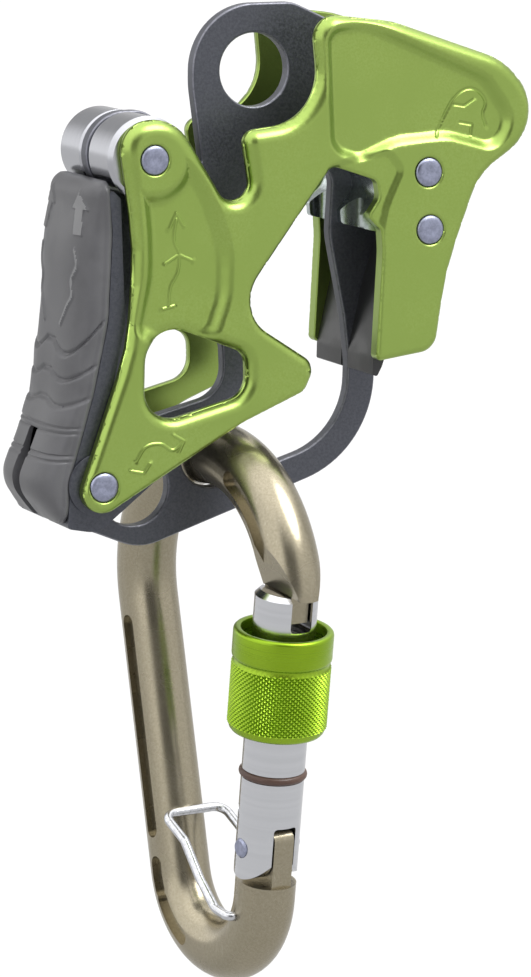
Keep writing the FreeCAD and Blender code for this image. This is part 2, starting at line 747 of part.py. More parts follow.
def gate_placement(shape, height=0):
    """From the gate's frame, with the hinge at its origin, to the seated carabiner."""
    lean = math.degrees(math.atan2(shape.up.x, shape.up.y))
    place = shape.gate_point(0, height)
    hinge = V(place.x, 0, place.y)
    return seat_placement() * FreeCAD.Placement(hinge, FreeCAD.Rotation(V(0, 1, 0), lean))


def add_pipe(body, name, profile, edges):
    path = face_sketch(body, name + "_path", "0 mm")
    path.addGeometry(edges, False)
    doc.recompute()
    pipe = body.newObject("PartDesign::AdditivePipe", body.Label + "_" + name)
    pipe.Profile = profile
    pipe.Spine = (path, ["Edge%d" % (index + 1) for index in range(len(edges))])
    doc.recompute()
    return pipe


def bar_section(body, shape):
    """The bar's section at the basket's top: round inside and outside, flat at the sides."""
    half = size("carabiner_bar_width") / 2
    rise = size("carabiner_bar_flat") / 2
    top = shape.basket.y + size("basket_radius")
    profile = sketch_at(body, "section", "YZ_Plane", "Sizes.basket_radius * %.4f" % BASKET_OFFSET_SHARE)
    upper = V(0, top + rise, 0)
    lower = V(0, top - rise, 0)
    side = V(half, 0, 0)
    profile.addGeometry([
        Part.LineSegment(lower + side, upper + side),
        Part.Arc(upper + side, upper + V(0, half, 0), upper - side),
        Part.LineSegment(upper - side, lower - side),
        Part.Arc(lower - side, lower - V(0, half, 0), lower + side),
    ], False)
    return profile


def carabiner_body(shape):
    """The bent bar from the hook round the basket, the spine and the base to the hinge."""
    body = new_body("carabiner_body")
    basket = size("basket_radius")
    base = size("base_radius")
    profile = bar_section(body, shape)
    apex = on_circle(shape.basket, basket, 90)
    hook_end = on_circle(shape.basket, basket, 0)
    add_pipe(body, "hook", profile, [arc_between(shape.basket, basket, apex, hook_end)])
    base_low = on_circle(shape.base, base, 270)
    base_end = shape.base + shape.out * base
    bar_end = base_end + shape.up * size("bar_end_rise")
    add_pipe(body, "spine", profile, [
        arc_between(shape.basket, basket, apex, shape.spine_top),
        Part.LineSegment(shape.spine_top, shape.spine_foot),
        arc_between(shape.base, base, shape.spine_foot, base_low),
        arc_between(shape.base, base, base_low, base_end),
        Part.LineSegment(base_end, bar_end),
    ])
    trim_hook(body, shape)
    tongue_and_tab(body, shape)
    side_pockets(body, shape)
    holes = face_sketch(body, "holes", "Sizes.carabiner_bar_width")
    for place, radius in ((shape.hinge, size("hinge_rivet_radius")),
                          (shape.keeper, size("keeper_wire_radius"))):
        holes.addGeometry(Part.Circle(place, V(0, 0, 1), radius + size("shaft_clearance")), False)
    cut(body, holes)
    body.Placement = seat_placement()
    set_place(body, SADDLE_PLACE_SHARES)
    return body


def trim_hook(body, shape):
    """Cuts the hook's end back to an arc about the gate's hinge, clear of the gate."""
    reach = shape.gate_length + size("seat_clearance")
    half = sleeve_mouth() * CUT_REACH_SHARE
    level = math.sqrt(reach ** 2 - half ** 2)
    left, top, right = [shape.gate_point(x, z) for x, z in ((-half, level), (0, reach), (half, level))]
    feet = [shape.gate_point(x, reach - 2 * half) for x in (half, -half)]
    sketch = face_sketch(body, "hook_end", "Sizes.carabiner_bar_width")
    sketch.addGeometry([Part.Arc(left, top, right), Part.LineSegment(right, feet[0]),
                        Part.LineSegment(feet[0], feet[1]), Part.LineSegment(feet[1], left)], False)
    cut(body, sketch)
    taper_hook(body, shape.gate_point(0, reach).y)


def taper_hook(body, end):
    """Thins the hook's sides toward its end, so that it runs into the tongue."""
    thin = size("tongue_thickness") / 2 + size("nose_end_step")
    wide = size("carabiner_bar_width") / 2
    slope = (wide - thin) / size("nose_taper_length")
    low = end - size("nose_taper_length")
    sides = sketch_at(body, "taper", "YZ_Plane", "Sizes.basket_radius / 2")
    for side in (-1, 1):
        foot = thin - slope * size("nose_taper_length")
        sides.addGeometry(polygon_edges([V(side * foot, low, 0), V(side * wide, low, 0),
                                         V(side * wide, end + size("nose_taper_length"), 0)]), False)
    cut(body, sides)


def sleeve_mouth():
    return size("gate_radius") + size("sleeve_mouth_gap")


def tongue_and_tab(body, shape):
    """The tongue that enters the gate's top slot, and the tab that its fork straddles."""
    half = size("tongue_depth") / 2
    low = shape.gate_length * TONGUE_END_SHARE
    high = shape.gate_length + half
    tongue = face_sketch(body, "tongue", "Sizes.tongue_thickness / 2")
    tongue.addGeometry(polygon_edges([shape.gate_point(x, z) for x, z in (
        (-half, low), (half, low), (half, high), (-half, high))]), False)
    pad(body, tongue, "Sizes.tongue_thickness")
    radius = size("hinge_tab_radius")
    foot = -2 * radius
    tab = face_sketch(body, "tab", "Sizes.hinge_tab_thickness / 2")
    tab.addGeometry(tab_edges(shape, radius, foot), False)
    pad(body, tab, "Sizes.hinge_tab_thickness")


def tab_edges(shape, radius, foot):
    """The tab's outline: round about the hinge inside, flush with the gate outside."""
    outside = size("gate_radius") - size("tongue_clearance")
    corners = [((-radius, foot), 0), ((-radius, radius), radius * ROUND_SHARE),
               ((outside, radius), radius / 2), ((outside, foot), 0)]
    return rounded_edges([(shape.gate_point(x, z), fillet) for (x, z), fillet in corners])


def side_pockets(body, shape):
    """The weight-saving pockets on both sides of the bar."""
    width = size("pocket_width")
    start, end = [shape.spine_top + (shape.spine_foot - shape.spine_top) * share
                  for share in SPINE_POCKET_SHARES]
    slots = [line_slot(start, end, width)]
    for angles in BASKET_POCKET_ANGLES:
        slots.append(ring_slot(shape.basket, size("basket_radius"), angles, width))
    for angles in BASE_POCKET_ANGLES:
        slots.append(ring_slot(shape.base, size("base_radius"), angles, width))
    half = "Sizes.carabiner_bar_width / 2"
    for name, depth, along in (("near", "-" + half, False), ("far", half, True)):
        sketch = face_sketch(body, "pockets_" + name, depth)
        for slot in slots:
            sketch.addGeometry(slot, False)
        cut(body, sketch, "Sizes.pocket_depth", along_normal=along)


def revolve(body, name, points):
    """Turns a closed outline of (radius, height) points about Z."""
    sketch = face_sketch(body, name, "0 mm")
    sketch.addGeometry(polygon_edges([V(x, z, 0) for x, z in points]), False)
    doc.recompute()
    feature = body.newObject("PartDesign::Revolution", body.Label + "_" + name + "_turn")
    feature.Profile = sketch
    feature.ReferenceAxis = (sketch, ["V_Axis"])
    feature.Angle = 360
    doc.recompute()
    return feature


GATE_BORE = "Sizes.hinge_tab_thickness / 2 + Sizes.running_clearance - Sizes.shaft_clearance"
GATE_REACH = "Sizes.gate_radius * %.3f" % CUT_REACH_SHARE


def side_slot(body, name, half_width, low, high, corner_radii):
    """A slot right through the gate along the carabiner's plane."""
    sketch = sketch_at(body, name, "YZ_Plane", "-" + GATE_REACH)
    low_radius, high_radius = corner_radii
    add_outline(sketch, [(V(-half_width, low, 0), low_radius), (V(half_width, low, 0), low_radius),
                         (V(half_width, high, 0), high_radius), (V(-half_width, high, 0), high_radius)])
    cut(body, sketch, "2 * " + GATE_REACH)


def gate(shape):
    """The gate's tube: forked round the hinge tab, slotted for the hook's tongue."""
    body = new_body("gate")
    radius = size("gate_radius")
    length = shape.gate_length
    seat = RING_SEAT_SHARE * length
    half_groove = size("stop_ring_wire_radius") + size("shaft_clearance")
    floor = ring_radius() - size("stop_ring_wire_radius")
    bevel = size("gate_top_bevel")
    revolve(body, "tube", [
        (0, -radius), (radius, -radius), (radius, seat - half_groove), (floor, seat - half_groove),
        (floor, seat + half_groove), (radius, seat + half_groove), (radius, length - bevel),
        (radius - bevel, length), (0, length),
    ])
    trim_gate_ends(body, radius, length)
    corner = size("gate_slot_corner_radius")
    side_slot(body, "top_slot", size("tongue_thickness") / 2 + size("tongue_clearance"),
              TOP_SLOT_SHARE * length, length + radius, (corner, 0))
    side_slot(body, "fork", size("hinge_tab_thickness") / 2 + size("running_clearance"),
              -2 * radius, size("hinge_tab_radius") + size("fork_gap"), (0, corner))
    bore = sketch_at(body, "bore", "XY_Plane", "Sizes.hinge_tab_radius + Sizes.fork_gap"
                     " - Sizes.gate_slot_corner_radius")
    add_circle(bore, GATE_BORE)
    cut(body, bore, "Sizes.plunger_length + " + GATE_SPRING_ROOM)
    hole = face_sketch(body, "rivet_hole", GATE_REACH)
    add_circle(hole, "Sizes.hinge_rivet_radius + Sizes.shaft_clearance")
    cut(body, hole)
    body.Placement = gate_placement(shape)


GATE_SPRING_ROOM = "Sizes.gate_spring_pitch * (Sizes.gate_spring_turns + 1)"


def ring_radius():
    """The stop ring's middle: half sunk in the gate's groove."""
    return size("gate_radius") - size("stop_ring_wire_radius") * RING_SUNK_SHARE


def trim_gate_ends(body, radius, length):
    """Rounds the fork about the hinge and the top about the same axis."""
    side = radius + size("seat_clearance")
    level = math.sqrt(length ** 2 - side ** 2)
    keep = [
        Part.Arc(V(-radius, 0, 0), V(0, -radius, 0), V(radius, 0, 0)),
        Part.LineSegment(V(radius, 0, 0), V(side, 0, 0)),
        Part.LineSegment(V(side, 0, 0), V(side, level, 0)),
        Part.Arc(V(side, level, 0), V(0, length, 0), V(-side, level, 0)),
        Part.LineSegment(V(-side, level, 0), V(-side, 0, 0)),
        Part.LineSegment(V(-side, 0, 0), V(-radius, 0, 0)),
    ]
    far = side * CUT_REACH_SHARE
    frame = polygon_edges([V(-far, -far, 0), V(far, -far, 0),
                           V(far, length + far, 0), V(-far, length + far, 0)])
    sketch = face_sketch(body, "end_trim", GATE_REACH)
    sketch.addGeometry(keep + frame, False)
    cut(body, sketch)


def screw_sleeve(shape):
    """The screw sleeve, standing backed off from the hook as in use."""
    body = new_body("screw_sleeve")
    low = SLEEVE_LOW_SHARE * shape.gate_length
    high = low + size("sleeve_length")
    outer = sleeve_mouth() + size("sleeve_wall")
    bore = size("gate_radius") + size("shaft_clearance")
    mouth = sleeve_mouth()
    bevel = size("sleeve_bevel")
    groove = size("sleeve_groove_depth")
    band = high - size("sleeve_band_length")
    step = high - size("sleeve_mouth_depth")
    revolve(body, "wall", [
        (bore, low), (outer - bevel, low), (outer, low + bevel), (outer, band - groove),
        (outer - groove, band), (outer, band + groove), (outer, high - groove),
        (outer - groove, high), (mouth, high), (mouth, step), (bore, step - mouth + bore),
    ])
    body.Placement = gate_placement(shape)


def stop_ring(shape):
    body = new_body("stop_ring")
    sketch = face_sketch(body, "section", "0 mm")
    centre = V(ring_radius(), RING_SEAT_SHARE * shape.gate_length, 0)
    sketch.addGeometry(Part.Circle(centre, V(0, 0, 1), size("stop_ring_wire_radius")), False)
    doc.recompute()
    feature = body.newObject("PartDesign::Revolution", "stop_ring_turn")
    feature.Profile = sketch
    feature.ReferenceAxis = (sketch, ["V_Axis"])
    feature.Angle = 360
    doc.recompute()
    body.Placement = gate_placement(shape)


def gate_rivet(shape):
    body = new_body("gate_rivet")
    half = "(Sizes.gate_radius + Sizes.seat_clearance)"
    turned(body, [("Sizes.hinge_rivet_radius", half, "2 * " + half)])
    bevel_edges(body, "Sizes.seat_clearance", lambda edge: edge.isClosed())
    body.Placement = gate_placement(shape)


def plunger_foot():
    return size("hinge_tab_radius") + 2 * size("shaft_clearance")


def gate_plunger(shape):
    """The plunger that the gate spring presses on the hinge tab."""
    plunger = doc.addObject("Part::Cylinder", "gate_plunger")
    plunger.Label = "gate_plunger"
    plunger.setExpression("Radius", GATE_BORE + " - Sizes.shaft_clearance")
    plunger.setExpression("Height", "Sizes.plunger_length")
    plunger.Placement = gate_placement(shape, plunger_foot())
    checked.append(plunger)


def gate_spring(shape):
    wire = size("gate_spring_wire_radius")
    bore = size("hinge_tab_thickness") / 2 + size("running_clearance") - size("shaft_clearance")
    radius = bore - wire - 2 * size("shaft_clearance")
    spring = coil(size("gate_spring_turns"), size("gate_spring_pitch"), radius, wire)
    start = plunger_foot() + size("plunger_length") + wire + size("shaft_clearance")
    plain_feature("gate_spring", spring, gate_placement(shape, start))


def bent_path(points, radii):
    """One wire of straight runs through the points, with an arc at each bend."""
    edges = []
    start = points[0]
    for before, corner, after, radius in zip(points, points[1:], points[2:], radii):
        back = (before - corner).normalize()
        ahead = (after - corner).normalize()
        half = back.getAngle(ahead) / 2
        reach = radius / math.tan(half)
        inward = (back + ahead).normalize()
        middle = corner + inward * (radius / math.sin(half) - radius)
        edges.append(Part.LineSegment(start, corner + back * reach).toShape())
        edges.append(Part.Arc(corner + back * reach, middle, corner + ahead * reach).toShape())
        start = corner + ahead * reach
    edges.append(Part.LineSegment(start, points[-1]).toShape())
    return Part.Wire(edges)


def keeper_points(shape):
    """The keeper's path from one pivot end round the crossbar to the other."""
    wire = size("keeper_wire_radius")
    side = size("carabiner_bar_width") / 2 + size("seat_clearance") + wire
    inner = size("carabiner_bar_width") / 4
    bends = [shape.keeper + V(u, w, 0) * size("base_radius") for u, w in KEEPER_BEND_SHARES]
    level = shape.keeper.y + KEEPER_TOP_SHARE * size("base_radius")
    spine = shape.spine_foot - shape.spine_top
    at_level = shape.spine_top + spine * ((level - shape.spine_top.y) / spine.y)
    half_depth = (size("carabiner_bar_width") + size("carabiner_bar_flat")) / 2
    gap = half_depth + size("seat_clearance") + wire
    bends.append(V(at_level.x - gap / shape.spine_normal.x, level, 0))
    arm = [V(shape.keeper.x, -inner, shape.keeper.y), V(shape.keeper.x, -side, shape.keeper.y)]
    arm += [V(point.x, -side, point.y) for point in bends]
    return arm + [V(point.x, -point.y, point.z) for point in reversed(arm)]


def wire_keeper(shape):
    points = keeper_points(shape)
    bend = KEEPER_BEND_RADIUS_SHARE * size("base_radius")
    hook = size("seat_clearance") + size("keeper_wire_radius")
    path = bent_path(points, [hook] + [bend for _ in points[2:-2]] + [hook])
    ring = Part.Wire([Part.makeCircle(size("keeper_wire_radius"), points[0], V(0, 1, 0))])
    solid = path.makePipeShell([ring], True, False)
    length = path.Length * math.pi * size("keeper_wire_radius") ** 2
    print("keeper wire volume share %.4f" % (solid.Volume / length))
    plain_feature("wire_keeper", solid, seat_placement())


fill_sheet()
side_plate("front_plate", "-" + HALF_GAP, "-" + OUTER_FACE, True)
side_plate("rear_plate", HALF_GAP, OUTER_FACE, False)
centre_plate()
rivets()
channel_pieces()
lever_frame()
lever_grip()
lever_spring()
carabiner = Carabiner()
carabiner_body(carabiner)
gate(carabiner)
gate_rivet(carabiner)
gate_plunger(carabiner)
gate_spring(carabiner)
screw_sleeve(carabiner)
stop_ring(carabiner)
wire_keeper(carabiner)
doc.recompute()


def check_and_write():
    for item in doc.Objects:
        if "Invalid" in item.State or "Error" in item.State:
            raise RuntimeError(item.Label + " failed: " + str(item.State))
    os.makedirs("parts", exist_ok=True)
    for item in checked:
        if item.Shape.isNull() or not item.Shape.isValid():
            raise RuntimeError(item.Label + " has no valid shape")
        item.Shape.exportStep("parts/" + item.Label + ".step")
        print(item.Label, len(item.Shape.Solids), "%.1f mm3" % item.Shape.Volume)


check_and_write()
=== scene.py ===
import math

import bpy
import numpy as np
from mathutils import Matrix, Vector
from mathutils.geometry import delaunay_2d_cdt


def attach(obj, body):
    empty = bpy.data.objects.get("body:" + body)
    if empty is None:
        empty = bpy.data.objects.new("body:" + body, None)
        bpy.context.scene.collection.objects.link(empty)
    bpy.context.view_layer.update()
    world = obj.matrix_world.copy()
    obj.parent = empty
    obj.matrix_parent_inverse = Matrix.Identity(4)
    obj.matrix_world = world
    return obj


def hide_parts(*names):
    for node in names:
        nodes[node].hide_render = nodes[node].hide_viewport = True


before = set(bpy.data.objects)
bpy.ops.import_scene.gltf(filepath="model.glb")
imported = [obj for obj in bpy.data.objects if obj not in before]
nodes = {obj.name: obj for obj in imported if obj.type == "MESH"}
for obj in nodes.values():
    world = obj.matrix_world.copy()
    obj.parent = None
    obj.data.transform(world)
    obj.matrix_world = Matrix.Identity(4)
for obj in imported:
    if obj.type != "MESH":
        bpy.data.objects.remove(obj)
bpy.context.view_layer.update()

MM = 0.001

# Flat outlines of the plates in millimetres from the eye's centre: x, z, the corner's radius,
# and how wide the outer face is rounded off there.
PLATE_OUTLINE = [
    (-35.0, -9.2, 5.9, 2.9), (-23.3, -6.8, 9.0, 2.9), (-11.9, -25.5, 3.4, 2.7),
    (-6.8, -22.9, 3.3, 2.7), (-8.7, -10.9, 2.7, 2.7), (8.7, -9.1, 10.6, 2.7),
    (6.6, 12.0, 4.5, 2.9), (24.4, 9.8, 20.0, 2.9), (49.8, 1.1, 15.0, 2.6),
    (59.0, -11.3, 9.8, 2.0), (43.2, -21.4, 13.4, 1.4), (35.8, -40.4, 60.0, 1.2),
    (33.5, -56.7, 4.0, 1.6), (20.2, -58.3, 1.2, 0.9), (21.5, -36.0, 20.0, 0.6),
    (21.2, -31.6, 1.5, 0.6), (18.4, -28.9, 1.3, 0.6), (21.0, -25.3, 2.5, 0.6),
    (20.4, -21.7, 1.8, 0.6), (10.3, -18.2, 2.8, 0.8), (-10.7, -46.4, 8.0, 1.6),
    (7.2, -58.1, 3.0, 2.2), (4.4, -63.3, 3.6, 1.2), (-9.0, -68.7, 20.0, 0.9),
    (-46.8, -90.0, 4.2, 1.4), (-33.3, -52.7, 40.0, 2.2), (-31.6, -33.2, 60.0, 2.8),
]
WINDOW = [
    (-29.4, -46.6, 6.5, 2.4), (-8.0, -55.0, 3.5, 2.4), (-7.9, -63.4, 4.5, 2.4),
    (-30.1, -68.9, 6.0, 2.4),
]
RIVET_PLACES = {
    "roller_axle": (-28.0, -15.6), "lever_pivot": (-39.1, -79.7),
    "leg_rivet_upper": (31.6, -20.5), "leg_rivet_lower": (32.0, -32.1),
}
INNER_FACE, OUTER_FACE = 13.5, 17.0
RIVET_HEAD_RADIUS, RIVET_SEAT_RADIUS, RIVET_RADIUS = 2.95, 3.07, 2.4

# The sunk parts of the outer face, as corners: x, z and the corner's radius.
HEAD_PANEL = [
    (9.6, 8.2, 3.0), (17.5, 9.6, 12.0), (44.5, -2.2, 6.0), (50.6, -10.8, 5.0), (46.5, -16.2, 4.0),
    (36.0, -13.2, 12.0), (24.5, -13.9, 14.0), (16.5, -17.2, 4.0), (10.6, -15.0, 4.0),
]
SIDE_BOWL = [
    (-29.9, -20.0, 2.0), (-29.0, -30.0, 20.0), (-28.9, -38.5, 20.0), (-31.5, -49.0, 2.0),
    (-24.0, -53.0, 2.0), (-15.6, -50.6, 4.0), (-13.0, -43.5, 14.0), (-12.6, -34.0, 18.0),
    (-17.0, -21.5, 14.0), (-22.4, -16.0, 3.0),
]
ARCH_LEDGE = [
    (9.0, -19.0, 0.5), (14.0, -17.4, 8.0), (22.5, -16.0, 2.5), (25.7, -19.5, 2.5),
    (22.3, -26.5, 8.0), (20.6, -33.5, 1.0), (15.0, -33.0, 1.0), (13.0, -22.0, 1.0),
]
# How deep each sunk part is and how wide the slope down to it, and the edges' roundings.
HEAD_DEPTH, HEAD_SLOPE = 1.8, 2.7
BOWL_DEPTH, BOWL_SLOPE = 1.9, 3.6
LEDGE_DEPTH, LEDGE_SLOPE = 0.7, 1.8
AXLE_LOBE_RADIUS = 7.8
RIM_DROP_SHARE, DEEPEST_RIM = 0.93, 2.9
SEAT_EDGE_WIDTH, SEAT_EDGE_DROP = 0.45, 0.35
INNER_BEVEL = 0.3

# Lines on the outer face: raised in the bowl and at the foot, cut into the head's panel.
BOWL_SIGN = [
    [(-24.6, -45.0), (-24.2, -41.0), (-22.6, -38.0), (-22.3, -34.5), (-23.4, -31.5),
     (-22.9, -27.6)],
    [(-24.5, -29.6), (-22.9, -26.4), (-21.2, -29.2)],
    [(-25.4, -36.4), (-22.4, -34.6), (-19.4, -36.0)],
    [(-26.0, -45.3), (-23.2, -44.7)],
]
FOOT_SIGN = [
    [(-32.5, -75.0), (-30.4, -72.2), (-27.2, -71.8), (-24.6, -73.2), (-22.4, -71.6)],
    [(-24.4, -70.2), (-22.2, -71.5), (-23.4, -73.9)],
    [(-33.6, -76.8), (-30.8, -77.4), (-29.4, -75.4)],
]
HEAD_SIGN = [
    [(33.6, -13.4), (37.4, -6.6), (40.6, -4.2), (43.4, -4.8), (45.0, -7.0), (44.4, -9.4),
     (45.2, -11.8)],
    [(38.0, -7.2), (40.2, -7.6), (42.6, -6.2)],
    [(39.0, -10.8), (42.0, -11.4), (41.6, -13.6)],
]
SIGN_HALF_WIDTH, SIGN_HEIGHT = 0.42, 0.22

# How finely the outer face is sampled: the step between points and between their rows, how
# near an edge they may come, and the grid that thins them out.
FACE_STEP, FACE_ROW_STEP, FACE_EDGE_GAP, FACE_GRID = 0.75, 0.6495, 0.08, 0.16
SLOPE_NUDGE = 0.02
FAR_OFF = 1e9


def rounded_loop(corners, arc_step=8.0, run_step=0.9):
    """A closed line of points round the corners, each with its own radius."""
    places = np.array([corner[:2] for corner in corners], float)
    count = len(corners)
    runs = []
    for index, corner in enumerate(corners):
        place, radius = places[index], corner[2]
        back = places[index - 1] - place
        ahead = places[(index + 1) % count] - place
        back /= np.linalg.norm(back)
        ahead /= np.linalg.norm(ahead)
        half = math.acos(np.clip(back @ ahead, -1, 1)) / 2
        inward = (back + ahead) / np.linalg.norm(back + ahead)
        centre = place + inward * radius / math.sin(half)
        start = place + back * radius / math.tan(half) - centre
        end = place + ahead * radius / math.tan(half) - centre
        turn = math.pi - 2 * half
        side = np.sign(start[0] * end[1] - start[1] * end[0])
        steps = max(2, int(math.degrees(turn) / arc_step) + 1)
        arc = []
        for step in range(steps + 1):
            angle = side * turn * step / steps
            cosine, sine = math.cos(angle), math.sin(angle)
            arc.append(centre + (start[0] * cosine - start[1] * sine,
                                 start[0] * sine + start[1] * cosine))
        runs.append(arc)
    points = []
    for index, arc in enumerate(runs):
        points += arc
        gap = runs[(index + 1) % count][0] - arc[-1]
        steps = int(np.linalg.norm(gap) / run_step)
        points += [arc[-1] + gap * step / (steps + 1) for step in range(1, steps + 1)]
    return np.array(points)


def circle_loop(place, radius, count=40):
    """A closed round line of points."""
    angles = np.arange(count) * 2 * math.pi / count
    return np.column_stack([place[0] + radius * np.cos(angles),
                            place[1] + radius * np.sin(angles)])


def smooth_line(points, count=10):
    """More points along a curve through the given ones."""
    points = np.array(points, float)
    if len(points) < 4:
        shares = np.linspace(0, 1, count)[:, None]
        runs = [start + (end - start) * shares for start, end in zip(points, points[1:])]
        return np.vstack(runs)
    padded = np.vstack([2 * points[0] - points[1], points, 2 * points[-1] - points[-2]])
    made = []
    for before, start, end, after in zip(padded, padded[1:], padded[2:], padded[3:]):
        for share in np.linspace(0, 1, count, endpoint=False):
            made.append(0.5 * (2 * start + (end - before) * share
                               + (2 * before - 5 * start + 4 * end - after) * share ** 2
                               + (3 * start - before - 3 * end + after) * share ** 3))
    return np.vstack([made, points[-1:]])


def run_distance(points, start, end):
    """How far along a straight run each point is, as a share, and its squared distance off it."""
    along = end - start
    share = np.clip((points - start) @ along / max(along @ along, 1e-12), 0, 1)
    gap = points - start - share[:, None] * along
    return share, np.einsum("ij,ij->i", gap, gap)


def line_distance(points, line, closed=True):
    """How far each point is from the line of points."""
    starts = line if closed else line[:-1]
    ends = np.roll(line, -1, axis=0) if closed else line[1:]
    best = np.full(len(points), FAR_OFF)
    for start, end in zip(starts, ends):
        best = np.minimum(best, run_distance(points, start, end)[1])
    return np.sqrt(best)


def rim_widths(corners, loop):
    """How wide the face is rounded at each point of the loop, drawn evenly between the corners."""
    places = [int(np.argmin(np.hypot(loop[:, 0] - x, loop[:, 1] - z))) for x, z, _, _ in corners]
    widths = [width for _, _, _, width in corners]
    return np.interp(np.arange(len(loop)), places, widths, period=len(loop))


def is_inside(points, loop):
    """Which of the points the closed loop surrounds."""
    inside = np.zeros(len(points), bool)
    for (x0, z0), (x1, z1) in zip(loop, np.roll(loop, -1, axis=0)):
        if z0 == z1:
            continue
        crosses = (z0 > points[:, 1]) != (z1 > points[:, 1])
        reach = (x1 - x0) * (points[:, 1] - z0) / (z1 - z0) + x0
        inside ^= crosses & (points[:, 0] < reach)
    return inside


def in_metal(points, loops):
    """Which of the points lie inside the first loop and outside the others, the holes."""
    inside = is_inside(points, loops[0])
    for hole in loops[1:]:
        inside &= ~is_inside(points, hole)
    return inside


def depth_inside(points, loop):
    """Distance to the loop, positive inside it and negative outside."""
    return line_distance(points, loop) * np.where(is_inside(points, loop), 1, -1)


def soft_step(share):
    """Nought to one over a share from nought to one, level at both ends."""
    share = np.clip(share, 0, 1)
    return share * share * (3 - 2 * share)


def put_in_scene(name, data):
    made = bpy.data.objects.new(name, data)
    bpy.context.scene.collection.objects.link(made)
    return made


def new_object(name, points, faces, smooth=True):
    """A mesh object; the points are in millimetres."""
    mesh = bpy.data.meshes.new(name)
    mesh.from_pydata([tuple(float(part) * MM for part in point) for point in points], [],
                     [tuple(int(index) for index in face) for face in faces])
    mesh.validate()
    mesh.update()
    if smooth:
        mesh.shade_smooth()
    return put_in_scene(name, mesh)


# ---- The forged side plates ----

plate_loop = rounded_loop(PLATE_OUTLINE)
window_loop = rounded_loop(WINDOW)
rims = [(plate_loop, rim_widths(PLATE_OUTLINE, plate_loop)),
        (window_loop, rim_widths(WINDOW, window_loop))]
seat_loops = [circle_loop(place, RIVET_SEAT_RADIUS) for place in RIVET_PLACES.values()]
head_loop = rounded_loop(HEAD_PANEL)
bowl_loop = rounded_loop(SIDE_BOWL)
ledge_loop = rounded_loop(ARCH_LEDGE)

raised_lines = [smooth_line(line) for line in BOWL_SIGN + FOOT_SIGN]
cut_lines = [smooth_line(line) for line in HEAD_SIGN]


def quarter_drop(distance, width, drop):
    """How far a face lies below its level at each distance from its rounded edge."""
    share = np.clip(1 - distance / width, 0, 1)
    return drop * (1 - np.sqrt(np.maximum(1 - share ** 2, 0)))


def rim_drop(points, loop, widths):
    """How far a rounded rim, whose width changes along the loop, has dropped at each point."""
    best = np.full(len(points), FAR_OFF)
    width = np.ones(len(points))
    for start, end, near, far in zip(loop, np.roll(loop, -1, axis=0), widths, np.roll(widths, -1)):
        share, reach = run_distance(points, start, end)
        closer = reach < best
        best[closer] = reach[closer]
        width[closer] = (near + (far - near) * share)[closer]
    return quarter_drop(np.sqrt(best), width, RIM_DROP_SHARE * width)


def plate_drop(points):
    """How far the plate's outer face lies below its highest level, in millimetres."""
    rim = np.hypot(*[rim_drop(points, loop, widths) for loop, widths in rims])
    rim = np.minimum(rim, DEEPEST_RIM)
    seat = np.min([line_distance(points, loop) for loop in seat_loops], axis=0)
    drop = quarter_drop(seat, SEAT_EDGE_WIDTH, SEAT_EDGE_DROP)
    # The bowl stops at a round lobe about the rollers' axle.
    lobe = np.hypot(*(points - RIVET_PLACES["roller_axle"]).T) - AXLE_LOBE_RADIUS
    head, bowl, ledge = [depth_inside(points, loop) for loop in (head_loop, bowl_loop, ledge_loop)]
    for inside, depth, slope in ((head, HEAD_DEPTH, HEAD_SLOPE),
                                 (np.minimum(bowl, lobe), BOWL_DEPTH, BOWL_SLOPE),
                                 (ledge, LEDGE_DEPTH, LEDGE_SLOPE)):
        drop = drop + depth * soft_step(inside / slope + 0.5)
    for lines, height in ((raised_lines, -SIGN_HEIGHT), (cut_lines, SIGN_HEIGHT)):
        near = np.min([line_distance(points, line, False) for line in lines], axis=0)
        drop = drop + height * soft_step(1.15 - near / SIGN_HALF_WIDTH)
    return rim + drop * (1 - rim / DEEPEST_RIM)


def offset_points(loop, distance):
    """The loop moved sideways by one distance, or by each point's own."""
    along = np.roll(loop, -1, axis=0) - np.roll(loop, 1, axis=0)
    along /= np.maximum(np.linalg.norm(along, axis=1), 1e-9)[:, None]
    return loop + np.column_stack([-along[:, 1], along[:, 0]]) * np.reshape(distance, (-1, 1))


def face_points(loops):
    """Places where the plate's relief is worked out: finer at edges, slopes and signs."""
    found = []
    for loop, widths in rims:
        for share in (0.045, 0.1, 0.17, 0.26, 0.37, 0.5, 0.64, 0.8, 1.0):
            for side in (-1, 1):
                found.append(offset_points(loop, side * share * widths))
    for loop in seat_loops:
        for distance in (0.12, 0.26, 0.42, 0.7):
            found += [offset_points(loop, distance), offset_points(loop, -distance)]
    for loop, slope in ((head_loop, HEAD_SLOPE), (bowl_loop, BOWL_SLOPE),
                        (ledge_loop, LEDGE_SLOPE)):
        for share in (-0.5, -0.33, -0.16, 0.0, 0.16, 0.33, 0.5):
            found.append(offset_points(loop, share * slope))
    for line in raised_lines + cut_lines:
        for distance in (-0.5, -0.3, -0.1, 0.1, 0.3, 0.5):
            found.append(offset_points(line, distance)[1:-1])
    low, high = plate_loop.min(0), plate_loop.max(0)
    for row, z in enumerate(np.arange(low[1], high[1], FACE_ROW_STEP)):
        x = np.arange(low[0] + (row % 2) * FACE_STEP / 2, high[0], FACE_STEP)
        found.append(np.column_stack([x, np.full(len(x), z)]))
    points = np.vstack(found)
    points = points[in_metal(points, loops)]
    near = np.min([line_distance(points, loop) for loop in loops], axis=0)
    points = points[near > FACE_EDGE_GAP]
    keep = np.unique(np.round(points / FACE_GRID).astype(int), axis=0, return_index=True)[1]
    return points[np.sort(keep)]


